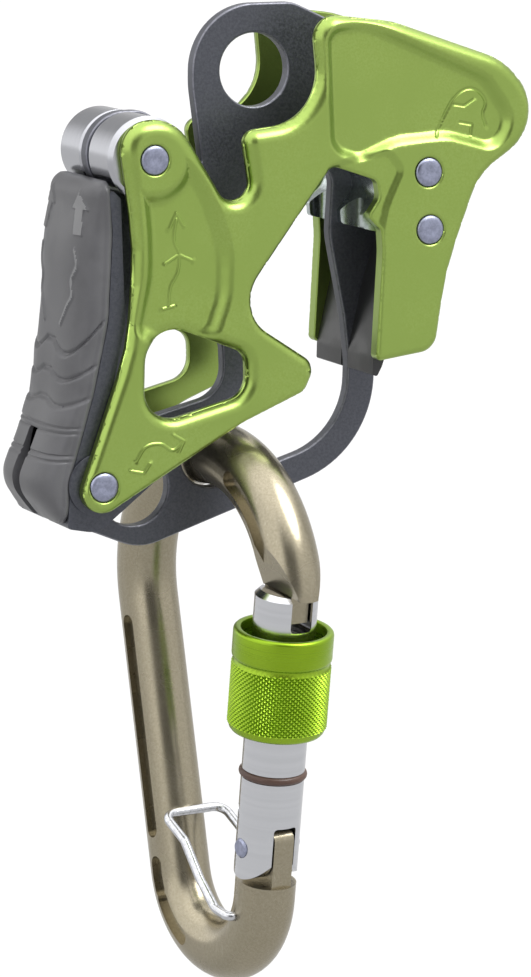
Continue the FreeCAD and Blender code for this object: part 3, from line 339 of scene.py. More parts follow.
def flat_sheet(loops, points):
    """Triangles over the first loop, less the others, through all the points."""
    places, edges = [], []
    for loop in loops:
        first = len(places)
        places += [tuple(point) for point in loop]
        edges += [(first + index, first + (index + 1) % len(loop)) for index in range(len(loop))]
    places += [tuple(point) for point in points]
    result = delaunay_2d_cdt([Vector(place) for place in places], edges, [], 0, 1e-5)
    flat = np.array([tuple(place) for place in result[0]])
    faces = np.array(result[2])
    faces = faces[in_metal(flat[faces].mean(axis=1), loops)]
    corners = flat[faces]
    first, second = corners[:, 1] - corners[:, 0], corners[:, 2] - corners[:, 0]
    flip = first[:, 0] * second[:, 1] - first[:, 1] * second[:, 0] < 0
    faces[flip] = faces[flip][:, ::-1]
    return flat, faces


def metal_outward(loop, loops):
    """The way out of the plate's metal at each point of one of its loops."""
    along = np.roll(loop, -1, axis=0) - np.roll(loop, 1, axis=0)
    outward = np.column_stack([along[:, 1], -along[:, 0]])
    outward /= np.linalg.norm(outward, axis=1)[:, None]
    outward[in_metal(loop + outward * 0.05, loops)] *= -1
    return outward


def forged_plate():
    """The plate's points as (x, depth below the outer face, z), its faces and its normals."""
    loops = [plate_loop, window_loop] + seat_loops
    flat, outer_faces = flat_sheet(loops, face_points(loops))
    drop = plate_drop(flat)
    slope_x, slope_z = [
        (plate_drop(flat + nudge) - plate_drop(flat - nudge)) / (2 * SLOPE_NUDGE)
        for nudge in np.array([(SLOPE_NUDGE, 0), (0, SLOPE_NUDGE)])]
    points = [np.column_stack([flat[:, 0], drop, flat[:, 1]])]
    normals = [np.column_stack([slope_x, -np.ones(len(flat)), slope_z])]
    faces = [list(face) for face in outer_faces]
    # Walls from the outer face down each loop, with a small bevel at the inner face.
    inner, inner_faces = flat_sheet(loops, np.zeros((0, 2)))
    thickness = OUTER_FACE - INNER_FACE
    start, first = 0, len(flat)
    for number, loop in enumerate(loops):
        count = len(loop)
        outward = metal_outward(loop, loops)
        drawn_in = loop - outward * INNER_BEVEL
        for ring, depths in ((loop, drop[start:start + count]), (loop, thickness - INNER_BEVEL),
                             (drawn_in, thickness)):
            depths = np.broadcast_to(depths, count)
            points.append(np.column_stack([ring[:, 0], depths, ring[:, 1]]))
        wall = np.column_stack([outward[:, 0], np.zeros(count), outward[:, 1]])
        normals += [wall, wall, wall + (0, 1, 0)]
        area = np.sum(loop[:, 0] * np.roll(loop[:, 1], -1) - loop[:, 1] * np.roll(loop[:, 0], -1))
        reverse = (area > 0) == (number == 0)
        for upper in (first, first + count):
            for index in range(count):
                after = (index + 1) % count
                quad = [upper + index, upper + after, upper + count + after, upper + count + index]
                faces.append(quad[::-1] if reverse else quad)
        inner[start:start + count] = drawn_in
        start += count
        first += 3 * count
    points.append(np.column_stack([inner[:, 0], np.full(len(inner), thickness), inner[:, 1]]))
    normals.append(np.tile((0.0, 1.0, 0.0), (len(inner), 1)))
    faces += [[first + index for index in face[::-1]] for face in inner_faces]
    return np.vstack(points), faces, np.vstack(normals)


def add_plate(name, node, side):
    """One of the two plates: side is -1 at the front and 1 at the rear, its mirror image."""
    points, faces, normals = plate_parts
    placed, turned = points.copy(), normals.copy()
    placed[:, 1] = side * (OUTER_FACE - points[:, 1])
    turned[:, 1] *= -side
    turned /= np.maximum(np.linalg.norm(turned, axis=1), 1e-9)[:, None]
    made = new_object(name, placed, faces if side < 0 else [face[::-1] for face in faces])
    made.data.normals_split_custom_set_from_vertices(turned.tolist())
    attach(made, "device")
    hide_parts(node)
    return made


# ---- Turned pieces ----


def about_axis(origin, axis, radius, height, angle):
    """The point at this radius, height and angle about an axis."""
    side = axis.orthogonal().normalized()
    across = axis.cross(side)
    return origin + axis * height + (side * math.cos(angle) + across * math.sin(angle)) * radius


def lathe(name, profile, origin, axis, count):
    """Turns a profile of (radius, height) points in millimetres round an axis."""
    axis, origin = Vector(axis).normalized(), Vector(origin)
    points, faces, rows = [], [], []
    for radius, height in profile:
        steps = count if radius else 1
        rows.append([len(points) + step for step in range(steps)])
        points += [about_axis(origin, axis, radius, height, 2 * math.pi * step / count)
                   for step in range(steps)]
    for lower, upper in zip(rows, rows[1:]):
        for step in range(count):
            after = (step + 1) % count
            if len(lower) == 1:
                faces.append((lower[0], upper[after], upper[step]))
            elif len(upper) == 1:
                faces.append((lower[step], lower[after], upper[0]))
            else:
                faces.append((lower[step], lower[after], upper[after], upper[step]))
    return new_object(name, points, faces)


def sharpen(made, degrees):
    """Keeps the edges crisp where two faces turn by more than this."""
    made.data.set_sharp_from_angle(angle=math.radians(degrees))


# A rivet's slightly domed, faintly dished head: radius, and height above the plate's face.
RIVET_HEAD = [
    (0, 0.14), (0.55, 0.16), (1.1, 0.24), (1.8, 0.27), (2.3, 0.2), (2.65, 0.06), (2.86, -0.12),
    (RIVET_HEAD_RADIUS, -0.34), (RIVET_HEAD_RADIUS, -1.15), (RIVET_RADIUS, -1.2),
]


def add_rivet(node, place):
    """A rivet through both plates, headed at each end."""
    far = [(radius, OUTER_FACE + height) for radius, height in RIVET_HEAD]
    near = [(radius, -height) for radius, height in far]
    made = lathe(node + "_headed", near + far[::-1], (place[0], 0, place[1]), (0, 1, 0), 48)
    sharpen(made, 40)
    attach(made, "device")
    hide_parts(node)
    return made


# The gate's axis, from the hinge toward the hook, and the sleeve's place along it at rest.
GATE_HINGE = Vector((-5.953, -21.134, -154.288))
GATE_UP = Vector((0.020712, -0.130773, 0.991196)).normalized()
SLEEVE_LOW = 24.29325
SLEEVE_LENGTH, SLEEVE_BAND = 21.6, 6.4
SLEEVE_RADIUS, SLEEVE_MOUTH, SLEEVE_BORE, SLEEVE_MOUTH_DEPTH = 10.1, 8.6, 6.45, 6.8
KNURLS_ROUND, KNURL_ROWS, KNURL_DEPTH = 54, 14, 0.42


def add_sleeve():
    """The screw sleeve: a smooth band over a diamond knurl of small pyramids."""
    low, high = SLEEVE_LOW, SLEEVE_LOW + SLEEVE_LENGTH
    band = high - SLEEVE_BAND
    root = SLEEVE_RADIUS - KNURL_DEPTH
    foot = [(SLEEVE_BORE, low + 0.25), (SLEEVE_BORE + 0.3, low), (root - 1.1, low),
            (root - 0.5, low + 0.25), (root - 0.1, low + 0.75)]
    knurl = [(root, height) for height in np.linspace(low + 1.3, band - 0.5, 2 * KNURL_ROWS + 1)]
    top = [(root - 0.12, band - 0.15), (root - 0.12, band + 0.1),
           (SLEEVE_RADIUS - 0.28, band + 0.32), (SLEEVE_RADIUS - 0.05, band + 0.6),
           (SLEEVE_RADIUS, band + 0.95), (SLEEVE_RADIUS, high - 0.75),
           (SLEEVE_RADIUS - 0.1, high - 0.35), (SLEEVE_RADIUS - 0.38, high - 0.06),
           (SLEEVE_RADIUS - 0.65, high), (SLEEVE_MOUTH + 0.35, high),
           (SLEEVE_MOUTH + 0.08, high - 0.12), (SLEEVE_MOUTH, high - 0.4),
           (SLEEVE_MOUTH, high - SLEEVE_MOUTH_DEPTH),
           (SLEEVE_BORE, high - SLEEVE_MOUTH_DEPTH - 1.65)]
    rows = foot + knurl + top
    first_knurl, last_knurl = len(foot), len(foot) + len(knurl) - 1
    count = 2 * KNURLS_ROUND
    points, faces, smooth_faces = [], [], []
    for number, (radius, height) in enumerate(rows):
        for step in range(count):
            on_tip = first_knurl < number < last_knurl and (number - first_knurl + step) % 2
            points.append(about_axis(GATE_HINGE, GATE_UP, radius + (KNURL_DEPTH if on_tip else 0),
                                     height, 2 * math.pi * step / count))
    for number in range(len(rows)):
        lower, upper = number * count, (number + 1) % len(rows) * count
        for step in range(count):
            after = (step + 1) % count
            quad = (lower + step, lower + after, upper + after, upper + step)
            if not first_knurl <= number < last_knurl:
                smooth_faces.append(len(faces))
                faces.append(quad)
            elif (number - first_knurl + step) % 2:
                faces += [(quad[0], quad[1], quad[3]), (quad[1], quad[2], quad[3])]
            else:
                faces += [(quad[0], quad[1], quad[2]), (quad[0], quad[2], quad[3])]
    made = new_object("screw_sleeve_knurled", points, faces, smooth=False)
    for index in smooth_faces:
        made.data.polygons[index].use_smooth = True
    sharpen(made, 50)
    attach(made, "sleeve")
    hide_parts("screw_sleeve")
    return made


# ---- The lever's moulded grip ----

# The grip by height: z, the crease beside the lever's frame and the crown of the palm side.
GRIP_ROWS = [
    (-19.9, -35.9, -39.7), (-22.0, -35.7, -40.2), (-25.0, -35.6, -40.5), (-28.0, -35.5, -41.2),
    (-31.0, -35.5, -41.9), (-34.0, -35.7, -42.3), (-37.0, -35.8, -42.5), (-40.0, -36.0, -42.5),
    (-43.0, -36.2, -42.7), (-46.0, -36.3, -43.0), (-49.0, -36.8, -43.3), (-52.0, -37.4, -43.6),
    (-55.0, -38.1, -44.1), (-58.0, -38.8, -44.4), (-61.0, -39.4, -44.8), (-64.0, -40.3, -45.4),
    (-67.0, -41.2, -46.6), (-70.0, -42.1, -47.6), (-73.0, -43.0, -48.8), (-76.0, -44.0, -50.3),
    (-79.0, -44.7, -51.3), (-82.0, -44.9, -50.8), (-85.0, -45.2, -48.8), (-87.4, -45.6, -47.4),
]
# How square its section is (2 would be an oval), and how it closes in towards both ends.
GRIP_HALF_WIDTH, GRIP_FULLNESS, GRIP_ROW_STEP = 12.7, 3.2, 0.26
GRIP_END_RADIUS, GRIP_END_NARROWING = 3.0, 2.6
GRIP_END_ROWS = np.array((0, 0.12, 0.35, 0.7, 1.15, 1.7, 2.3))
SLIT_HALF_WIDTH, SLIT_TOP = 1.95, -69.2
# Finger grooves: their height at these distances round from the crease, and their depth.
GROOVE_REACHES = (0.0, 2.0, 4.0, 6.0, 8.0, 10.0, 12.0, 15.0)
GRIP_GROOVES = [
    ((-46.0, -48.9, -51.4, -53.2, -54.1, -54.1, -53.3, -51.4), 0.46),
    ((-55.4, -56.9, -58.1, -58.9, -59.3, -59.2, -58.6, -57.2), 0.42),
    ((-62.0, -63.0, -63.8, -64.3, -64.5, -64.4, -63.9, -62.8), 0.32),
]
GROOVE_HALF_WIDTH, SWELL_HEIGHT, SWELL_REACH = 0.55, 0.26, 7.0
FINE_GROOVES = (-68.3, -69.4, -73.7, -74.8)
FINE_HALF_WIDTH, FINE_DEPTH = 0.3, 0.24
# The raised lip beside the crease: its height, its distance round from it and its half width.
LIP_HEIGHT, LIP_PLACE, LIP_HALF_WIDTH = 0.3, 0.75, 0.6
# Raised marks, as (distance round from the crease, height): an arrow and a length of rope.
GRIP_ARROW = np.array([(7.8, -21.8), (10.8, -25.6), (9.3, -25.6), (9.3, -30.6), (6.3, -30.6),
                       (6.3, -25.6), (4.8, -25.6)])
GRIP_ROPE = smooth_line([(8.2, -33.5), (7.4, -36.5), (9.0, -39.5), (8.6, -42.5), (10.4, -45.0),
                         (12.4, -48.4)])
MARK_HEIGHT, MARK_SLOPE, ROPE_HALF_WIDTH = 0.3, 0.35, 0.6


def marked(places):
    """One on the raised marks and nought off them."""
    arrow = soft_step(depth_inside(places, GRIP_ARROW) / MARK_SLOPE + 0.5)
    rope = soft_step(1.2 - line_distance(places, GRIP_ROPE, False) / ROPE_HALF_WIDTH)
    return np.maximum(arrow, rope)


def grip_relief(around, height):
    """How far the grip's skin stands out at one height; below nought it is cut in."""
    relief = np.zeros(len(around))
    for path, depth in GRIP_GROOVES:
        below = np.interp(around, GROOVE_REACHES, path) - height
        relief -= depth * soft_step(1.25 - np.abs(below) / GROOVE_HALF_WIDTH)
        relief += SWELL_HEIGHT * soft_step(below / 0.8) * soft_step(1 - below / SWELL_REACH)
    for centre in FINE_GROOVES:
        relief -= FINE_DEPTH * soft_step(1.3 - abs(height - centre) / FINE_HALF_WIDTH)
    relief += MARK_HEIGHT * marked(np.column_stack([around, np.full(len(around), height)]))
    lip = LIP_HEIGHT * soft_step(1.3 - np.abs(around - LIP_PLACE) / LIP_HALF_WIDTH)
    return relief * soft_step(around / 0.9 - 0.4) + lip


def grip_half(crease, crown, half_width, height, count=52):
    """Half of the grip's section at one height, and which of its points are on a raised mark."""
    power = 2 / GRIP_FULLNESS
    last = math.acos((SLIT_HALF_WIDTH / half_width) ** (1 / power))
    turn = last * np.linspace(0, 1, 400) ** 1.5
    line = np.column_stack([crease - (crease - crown) * np.sin(turn) ** power,
                            -half_width * np.cos(turn) ** power])
    steps = np.append(0, np.cumsum(np.linalg.norm(np.diff(line, axis=0), axis=1)))
    around = np.linspace(0, steps[-1], count)
    half = np.column_stack([np.interp(around, steps, part) for part in line.T])
    along = np.gradient(half, axis=0)
    along /= np.linalg.norm(along, axis=1)[:, None]
    outward = np.column_stack([-along[:, 1], along[:, 0]])
    half += outward * grip_relief(around, height)[:, None]
    half[0], half[-1, 1] = (crease, -half_width), -SLIT_HALF_WIDTH
    return half, marked(np.column_stack([around, np.full(count, height)])) > 0.5


def add_grip():
    """The grip as a crowned shell of rings from its top to its foot, parted by the slit."""
    top, foot = GRIP_ROWS[0][0], GRIP_ROWS[-1][0]
    middle = np.arange(top - GRIP_END_RADIUS, foot + GRIP_END_RADIUS, -GRIP_ROW_STEP)
    heights = np.concatenate([top - GRIP_END_ROWS, middle, (foot + GRIP_END_ROWS)[::-1]])
    table = smooth_line(GRIP_ROWS)[::-1]
    points, faces, marks = [], [], []
    for height in heights:
        crease, crown = [np.interp(height, table[:, 0], table[:, column]) for column in (1, 2)]
        near_end = min(top - height, height - foot, GRIP_END_RADIUS) / GRIP_END_RADIUS
        swell = math.sqrt(max(1 - (1 - near_end) ** 2, 0))
        crown = crease + (crown - crease) * (0.5 + 0.5 * swell)
        half_width = GRIP_HALF_WIDTH - GRIP_END_NARROWING * (1 - swell)
        half, on_mark = grip_half(crease, crown, half_width, height)
        marks.append(on_mark)
        ring = np.vstack([half, half[::-1] * (1, -1),
                          (crease, SLIT_HALF_WIDTH), (crease, -SLIT_HALF_WIDTH)])
        points += [(x, y, height) for x, y in ring]
    size = len(points) // len(heights)
    half_size = size // 2 - 1
    inner_rear, inner_front = size - 2, size - 1
    slit_row = int(np.argmax(heights < SLIT_TOP))
    for row in range(len(heights) - 1):
        upper, lower = row * size, (row + 1) * size
        runs = [(index, (index + 1) % size) for index in range(size)]
        if row >= slit_row:
            runs = [run for run in runs if run[0] not in (half_size - 1, inner_rear)]
            runs += [(half_size - 1, inner_front), (inner_rear, half_size)]
        faces += [(upper + start, upper + end, lower + end, lower + start) for start, end in runs]
    # The floor of the slit, the grip's top and its two feet.
    first, last = slit_row * size, (len(heights) - 1) * size
    faces.append([first + index for index in (half_size - 1, half_size, inner_rear, inner_front)])
    faces.append(list(range(size))[::-1])
    for start, inner in ((0, inner_front), (half_size, inner_rear)):
        faces.append([last + index for index in [*range(start, start + half_size), inner]])
    made = new_object("lever_grip_moulded", points, faces)
    dress(made, GRIP_PLASTIC, MARK_PLASTIC)
    marks = np.array(marks)
    for face in made.data.polygons:
        rows, places = np.divmod(np.array(face.vertices), size)
        if len(rows) == 4 and places.max() < half_size and marks[rows, places].all():
            face.material_index = 1
    sharpen(made, 38)
    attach(made, "lever")
    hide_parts("lever_grip")
    return made


# The washer's section: radius, and distance out from the middle plate.
SPRING_COVER = [
    (3.3, 13.18), (5.9, 13.18), (6.1, 13.24), (6.15, 13.32), (6.0, 13.4), (3.6, 13.42),
    (3.3, 13.4), (3.3, 13.18),
]


def add_spring_cover():
    """A thin dished washer over the return spring's pocket, between the lever and the plate."""
    place = RIVET_PLACES["lever_pivot"]
    made = lathe("lever_spring_cover", SPRING_COVER, (place[0], 0, place[1]), (0, -1, 0), 72)
    sharpen(made, 40)
    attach(made, "lever")
    return made


# ---- Effects shared by the finishes ----


def shade(red, green, blue):
    """A colour given as it looks on a screen, 0 to 255, as the renderer's linear colour."""
    parts = [part / 255 for part in (red, green, blue)]
    linear = [part / 12.92 if part <= 0.04045 else ((part + 0.055) / 1.055) ** 2.4
              for part in parts]
    return (*linear, 1.0)


def start_group(name, inputs, outputs):
    """A shader group with named inputs (name, kind, start value) and outputs (name, kind)."""
    group = bpy.data.node_groups.new(name, "ShaderNodeTree")
    for label, kind, value in inputs:
        socket = group.interface.new_socket(label, in_out="INPUT", socket_type="NodeSocket" + kind)
        socket.default_value = value
    for label, kind in outputs:
        group.interface.new_socket(label, in_out="OUTPUT", socket_type="NodeSocket" + kind)
    return group, group.nodes.new("NodeGroupInput"), group.nodes.new("NodeGroupOutput")


def give(tree, socket, part):
    """Sets a socket to a number or a colour, or links another node's output to it."""
    if isinstance(part, (int, float, tuple)):
        socket.default_value = part
    else:
        tree.links.new(part, socket)


def math_node(tree, operation, *parts):
    """A Math node; each part is a socket or a number."""
    node = tree.nodes.new("ShaderNodeMath")
    node.operation = operation
    for socket, part in zip(node.inputs, parts):
        give(tree, socket, part)
    return node.outputs[0]


def noise_node(tree, where, scale, detail=2.0, roughness=0.5):
    """Noise by place, or along one line if where is a single value."""
    node = tree.nodes.new("ShaderNodeTexNoise")
    along_line = where.type == "VALUE"
    node.noise_dimensions = "1D" if along_line else "3D"
    for label, part in (("W" if along_line else "Vector", where), ("Scale", scale),
                        ("Detail", detail), ("Roughness", roughness)):
        give(tree, node.inputs[label], part)
    return node.outputs["Fac"]


def spread_node(tree, value, low, high, to_low=0.0, to_high=1.0):
    """A value from one range carried over to another, level at both ends."""
    node = tree.nodes.new("ShaderNodeMapRange")
    node.interpolation_type = "SMOOTHSTEP"
    for label, part in (("Value", value), ("From Min", low), ("From Max", high),
                        ("To Min", to_low), ("To Max", to_high)):
        give(tree, node.inputs[label], part)
    return node.outputs[0]


def vector_node(tree, operation, first, second):
    node = tree.nodes.new("ShaderNodeVectorMath")
    node.operation = operation
    give(tree, node.inputs[0], first)
    give(tree, node.inputs[1], second)
    return node


def place_output(tree):
    """Where each point lies on the piece, in metres."""
    return tree.nodes.new("ShaderNodeTexCoord").outputs["Object"]


def blasted_grain():
    """Fine bead-blasted grain, with a slow drift of tone."""
    group, given, out = start_group("Blasted grain", [("Grain per metre", "Float", 5200.0)],
                                    [("Height", "Float"), ("Tone", "Float"), ("Drift", "Float")])
    place = place_output(group)
    fine = noise_node(group, place, given.outputs["Grain per metre"], 2.0, 0.6)
    group.links.new(fine, out.inputs["Height"])
    coarse = math_node(group, "MULTIPLY", given.outputs["Grain per metre"], 0.45)
    for label, scale, roughness in (("Tone", coarse, 0.7), ("Drift", 70.0, 0.5)):
        noise = noise_node(group, place, scale, 2.0, roughness)
        group.links.new(spread_node(group, noise, 0.3, 0.7), out.inputs[label])
    return group


def handling_marks():
    """Short fine scratches from use, where they show."""
    group, given, out = start_group("Handling marks", [("Amount", "Float", 0.3)],
                                    [("Mask", "Float")])
    place = place_output(group)
    stretch = group.nodes.new("ShaderNodeMapping")
    stretch.inputs["Scale"].default_value = (1.0, 1.0, 0.08)
    stretch.inputs["Rotation"].default_value = (0.4, 0.7, 0.3)
    group.links.new(place, stretch.inputs["Vector"])
    lines = spread_node(group, noise_node(group, stretch.outputs[0], 2600.0, 1.0, 0.4), 0.68, 0.76)
    patches = spread_node(group, noise_node(group, place, 160.0, 2.0, 0.5), 0.48, 0.62)
    both = math_node(group, "MULTIPLY", lines, patches)
    shown = math_node(group, "MULTIPLY", both, given.outputs["Amount"])
    group.links.new(shown, out.inputs["Mask"])
    return group


def turned_lines():
    """Fine tool lines round an axis, as a lathe leaves them."""
    group, given, out = start_group(
        "Turned lines", [("Axis point", "Vector", (0, 0, 0)), ("Axis", "Vector", (0, 0, 1)),
                         ("Lines per metre", "Float", 9000.0)],
        [("Height", "Float"), ("Tone", "Float")])
    gap = vector_node(group, "SUBTRACT", place_output(group), given.outputs["Axis point"])
    along = vector_node(group, "DOT_PRODUCT", gap.outputs[0], given.outputs["Axis"])
    along = along.outputs["Value"]
    lines = noise_node(group, along, given.outputs["Lines per metre"], 2.0, 0.6)
    group.links.new(lines, out.inputs["Height"])
    wide = math_node(group, "MULTIPLY", given.outputs["Lines per metre"], 0.12)
    tone = spread_node(group, noise_node(group, along, wide, 2.0, 0.6), 0.3, 0.7)
    group.links.new(tone, out.inputs["Tone"])
    return group


def moulded_skin():
    """The fine pebbled skin of moulded plastic, with faint dull patches."""
    group, given, out = start_group("Moulded skin", [("Pebbles per metre", "Float", 3200.0)],
                                    [("Height", "Float"), ("Patch", "Float")])
    place = place_output(group)
    cells = group.nodes.new("ShaderNodeTexVoronoi")
    cells.feature = "SMOOTH_F1"
    group.links.new(place, cells.inputs["Vector"])
    group.links.new(given.outputs["Pebbles per metre"], cells.inputs["Scale"])
    group.links.new(cells.outputs["Distance"], out.inputs["Height"])
    patch = spread_node(group, noise_node(group, place, 120.0, 3.0, 0.6), 0.35, 0.65)
    group.links.new(patch, out.inputs["Patch"])
    return group


def rim_sheen_and_wear():
    """A mask of a plate's rounded rims, from how far the surface turns off the plate's face,
    broken up by noise; it lays a painted highlight along the rims, partly wear.
    """
    group, given, out = start_group("Rim sheen and wear", [("Wear", "Float", 0.5)], [("Mask", "Float")])
    split = group.nodes.new("ShaderNodeSeparateXYZ")
    group.links.new(group.nodes.new("ShaderNodeTexCoord").outputs["Normal"], split.inputs[0])
    flat = math_node(group, "ABSOLUTE", split.outputs["Y"])
    turning = math_node(group, "MULTIPLY", spread_node(group, flat, 0.97, 0.8),
                       spread_node(group, flat, 0.05, 0.5))
    rough = spread_node(group, noise_node(group, place_output(group), 900.0, 3.0, 0.7), 0.3, 0.6)
    # The rim mask broken up by noise like wear; where it is used it paints a highlight on the
    # rims.
    layered = math_node(group, "MULTIPLY", turning, math_node(group, "MULTIPLY_ADD", rough, 0.5, 0.5))
    group.links.new(math_node(group, "MULTIPLY", layered, given.outputs["Wear"]), out.inputs["Mask"])
    return group


GRAIN, MARKS, TURNED = blasted_grain(), handling_marks(), turned_lines()
SKIN, RIM_SHEEN_AND_WEAR = moulded_skin(), rim_sheen_and_wear()


class Finish:
    """A material under way: its Principled shader, and the effects placed in it."""

    def __init__(self, name, colour, metallic, roughness, coat=0.0, coat_roughness=0.1):
        self.material = bpy.data.materials.new(name)
        self.material.use_nodes = True
        self.tree = self.material.node_tree
        self.shader = self.tree.nodes["Principled BSDF"]
        for label, value in (("Base Color", colour), ("Metallic", metallic),
                             ("Roughness", roughness), ("Coat Weight", coat),
                             ("Coat Roughness", coat_roughness)):
            self.shader.inputs[label].default_value = value
        self.material.diffuse_color = colour

    def effect(self, group, **values):
        """Places a shared effect, with values for its named inputs."""
        node = self.tree.nodes.new("ShaderNodeGroup")
        node.node_tree = group
        for label, value in values.items():
            node.inputs[label.replace("_", " ")].default_value = value
        return node

    def blend(self, mask, first, second):
        """One colour or socket to another, by a mask."""
        node = self.tree.nodes.new("ShaderNodeMix")
        node.data_type = "RGBA"
        self.tree.links.new(mask, node.inputs["Factor"])
        colours = [socket for socket in node.inputs if socket.type == "RGBA"]
        give(self.tree, colours[0], first)
        give(self.tree, colours[1], second)
        return [socket for socket in node.outputs if socket.type == "RGBA"][0]

    def complete(self, colour, mask, smoothest, roughest, height, strength, depth=0.0001):
        """Feeds in the colour, a roughness that goes by a mask, and the fine relief."""
        relief = self.tree.nodes.new("ShaderNodeBump")
        for label, part in (("Strength", strength), ("Distance", depth), ("Height", height)):
            give(self.tree, relief.inputs[label], part)
        for label, part in (
                ("Base Color", colour), ("Normal", relief.outputs["Normal"]),
                ("Roughness", spread_node(self.tree, mask, 0.0, 1.0, smoothest, roughest))):
            self.tree.links.new(part, self.shader.inputs[label])
        return self.material


HINGE_POINT, UP_AXIS = tuple(GATE_HINGE * MM), tuple(GATE_UP)


def anodised_green():
    """The side plates' finish: blasted, then anodised."""
    made = Finish("anodised green", shade(149, 174, 86), 0.9, 0.3, 0.1, 0.25)
    grain = made.effect(GRAIN, Grain_per_metre=4800.0)
    toned = made.blend(grain.outputs["Tone"], shade(147, 170, 84), shade(154, 178, 94))
    drifting = made.blend(grain.outputs["Drift"], shade(147, 171, 86), toned)
    return made.complete(drifting, grain.outputs["Tone"], 0.28, 0.32,
                         grain.outputs["Height"], 0.03)


def sleeve_green():
    """The screw sleeve's: turned, then anodised."""
    made = Finish("sleeve green", shade(140, 174, 36), 0.88, 0.28, 0.15, 0.15)
    lines = made.effect(TURNED, Axis_point=HINGE_POINT, Axis=UP_AXIS, Lines_per_metre=7000.0)
    grain = made.effect(GRAIN, Grain_per_metre=5200.0)
    toned = made.blend(grain.outputs["Drift"], shade(134, 168, 28), shade(148, 181, 46))
    return made.complete(toned, lines.outputs["Tone"], 0.26, 0.36,
                         lines.outputs["Height"], 0.06, 0.00008)


def dark_anodised(name="dark anodised", colour=(78, 80, 88), rim=(150, 150, 160), roughness=0.42):
    """Dark anodised sheet, paler at its rounded rims: a painted highlight there, partly wear."""
    made = Finish(name, shade(*colour), 0.6, roughness, 0.1, 0.3)
    grain = made.effect(GRAIN, Grain_per_metre=4200.0)
    rims = made.effect(RIM_SHEEN_AND_WEAR, Wear=0.7)
    lighter = tuple(min(255, part + 14) for part in colour)
    toned = made.blend(grain.outputs["Tone"], shade(*colour), shade(*lighter))
    # The pale rim colour is a painted highlight along the rounded rims, partly wear.
    layered = made.blend(rims.outputs["Mask"], toned, shade(*rim))
    return made.complete(layered, grain.outputs["Tone"], roughness - 0.06, roughness + 0.08,
                         grain.outputs["Height"], 0.18, 0.00014)


def champagne():
    """The carabiner's bar, with faint marks from use."""
    made = Finish("champagne anodised", shade(155, 148, 126), 0.92, 0.27, 0.1, 0.15)
    grain = made.effect(GRAIN, Grain_per_metre=4600.0)
    marks = made.effect(MARKS, Amount=0.15)
    toned = made.blend(grain.outputs["Tone"], shade(150, 142, 121), shade(161, 153, 133))
    layered = made.blend(marks.outputs["Mask"], toned, shade(225, 222, 205))
    return made.complete(layered, grain.outputs["Drift"], 0.24, 0.3, grain.outputs["Height"], 0.03)


def bare_metal(name, colour, roughness, point, axis, lines=8000.0, strength=0.1):
    """Turned or drawn steel and aluminium."""
    made = Finish(name, shade(*colour), 1.0, roughness)
    turned = made.effect(TURNED, Axis_point=point, Axis=axis, Lines_per_metre=lines)
    marks = made.effect(MARKS, Amount=0.12)
    darker = tuple(int(part * 0.98) for part in colour)
    toned = made.blend(turned.outputs["Tone"], shade(*darker), shade(*colour))
    layered = made.blend(marks.outputs["Mask"], toned, shade(235, 235, 238))
    return made.complete(layered, turned.outputs["Tone"], roughness - 0.01, roughness + 0.02,
                         turned.outputs["Height"], strength)


def zinc_plated(name, colour, roughness):
    """Plated steel, with the plating's coarse faint spangle."""
    made = Finish(name, shade(*colour), 1.0, roughness)
    grain = made.effect(GRAIN, Grain_per_metre=2600.0)
    darker = tuple(int(part * 0.88) for part in colour)
    toned = made.blend(grain.outputs["Tone"], shade(*darker), shade(*colour))
    return made.complete(toned, grain.outputs["Drift"], roughness - 0.04, roughness + 0.1,
                         grain.outputs["Height"], 0.08)


def moulded_plastic(name, colour, roughness, pebbles=3200.0):
    """Plastic or rubber with the mould's pebbled skin."""
    made = Finish(name, shade(*colour), 0.0, roughness)
    skin = made.effect(SKIN, Pebbles_per_metre=pebbles)
    lighter = tuple(min(255, part + 9) for part in colour)
    toned = made.blend(skin.outputs["Patch"], shade(*colour), shade(*lighter))
    return made.complete(toned, skin.outputs["Patch"], roughness - 0.05, roughness + 0.07,
                         skin.outputs["Height"], 0.1)


GREEN = anodised_green()
SLEEVE = sleeve_green()
# Both dark finishes turn pale at their rounded rims: a painted highlight, partly wear.
DARK = dark_anodised()
FRAME_DARK = dark_anodised("lever frame dark", (70, 72, 80), (110, 112, 120), 0.36)
CHAMPAGNE = champagne()
RIVET_STEEL = zinc_plated("rivet steel", (160, 164, 186), 0.34)
ORIGIN, ACROSS = (0, 0, 0), (0, 1, 0)
ROLLER_STEEL = bare_metal("roller steel", (180, 181, 186), 0.22, (-0.028, 0, -0.0156), ACROSS,
                          9000.0, 0.02)
BUSH_STEEL = bare_metal("bush steel", (170, 170, 175), 0.32, ORIGIN, ACROSS)
INSERT_ZINC = zinc_plated("zinc plated insert", (196, 206, 204), 0.2)
GATE_METAL = bare_metal("gate aluminium", (206, 207, 211), 0.18, HINGE_POINT, UP_AXIS,
                        6000.0, 0.02)
SPRING_STEEL = bare_metal("spring steel", (170, 170, 176), 0.25, ORIGIN, ACROSS, 12000.0)
WIRE_STEEL = zinc_plated("keeper wire steel", (205, 206, 210), 0.16)
GRIP_PLASTIC = moulded_plastic("grip plastic", (100, 100, 103), 0.4)
MARK_PLASTIC = moulded_plastic("grip mark plastic", (150, 150, 152), 0.45)
LINER_PLASTIC = moulded_plastic("liner plastic", (44, 44, 46), 0.36)
STOP_RUBBER = moulded_plastic("stop ring rubber", (86, 62, 52), 0.4, 5000.0)

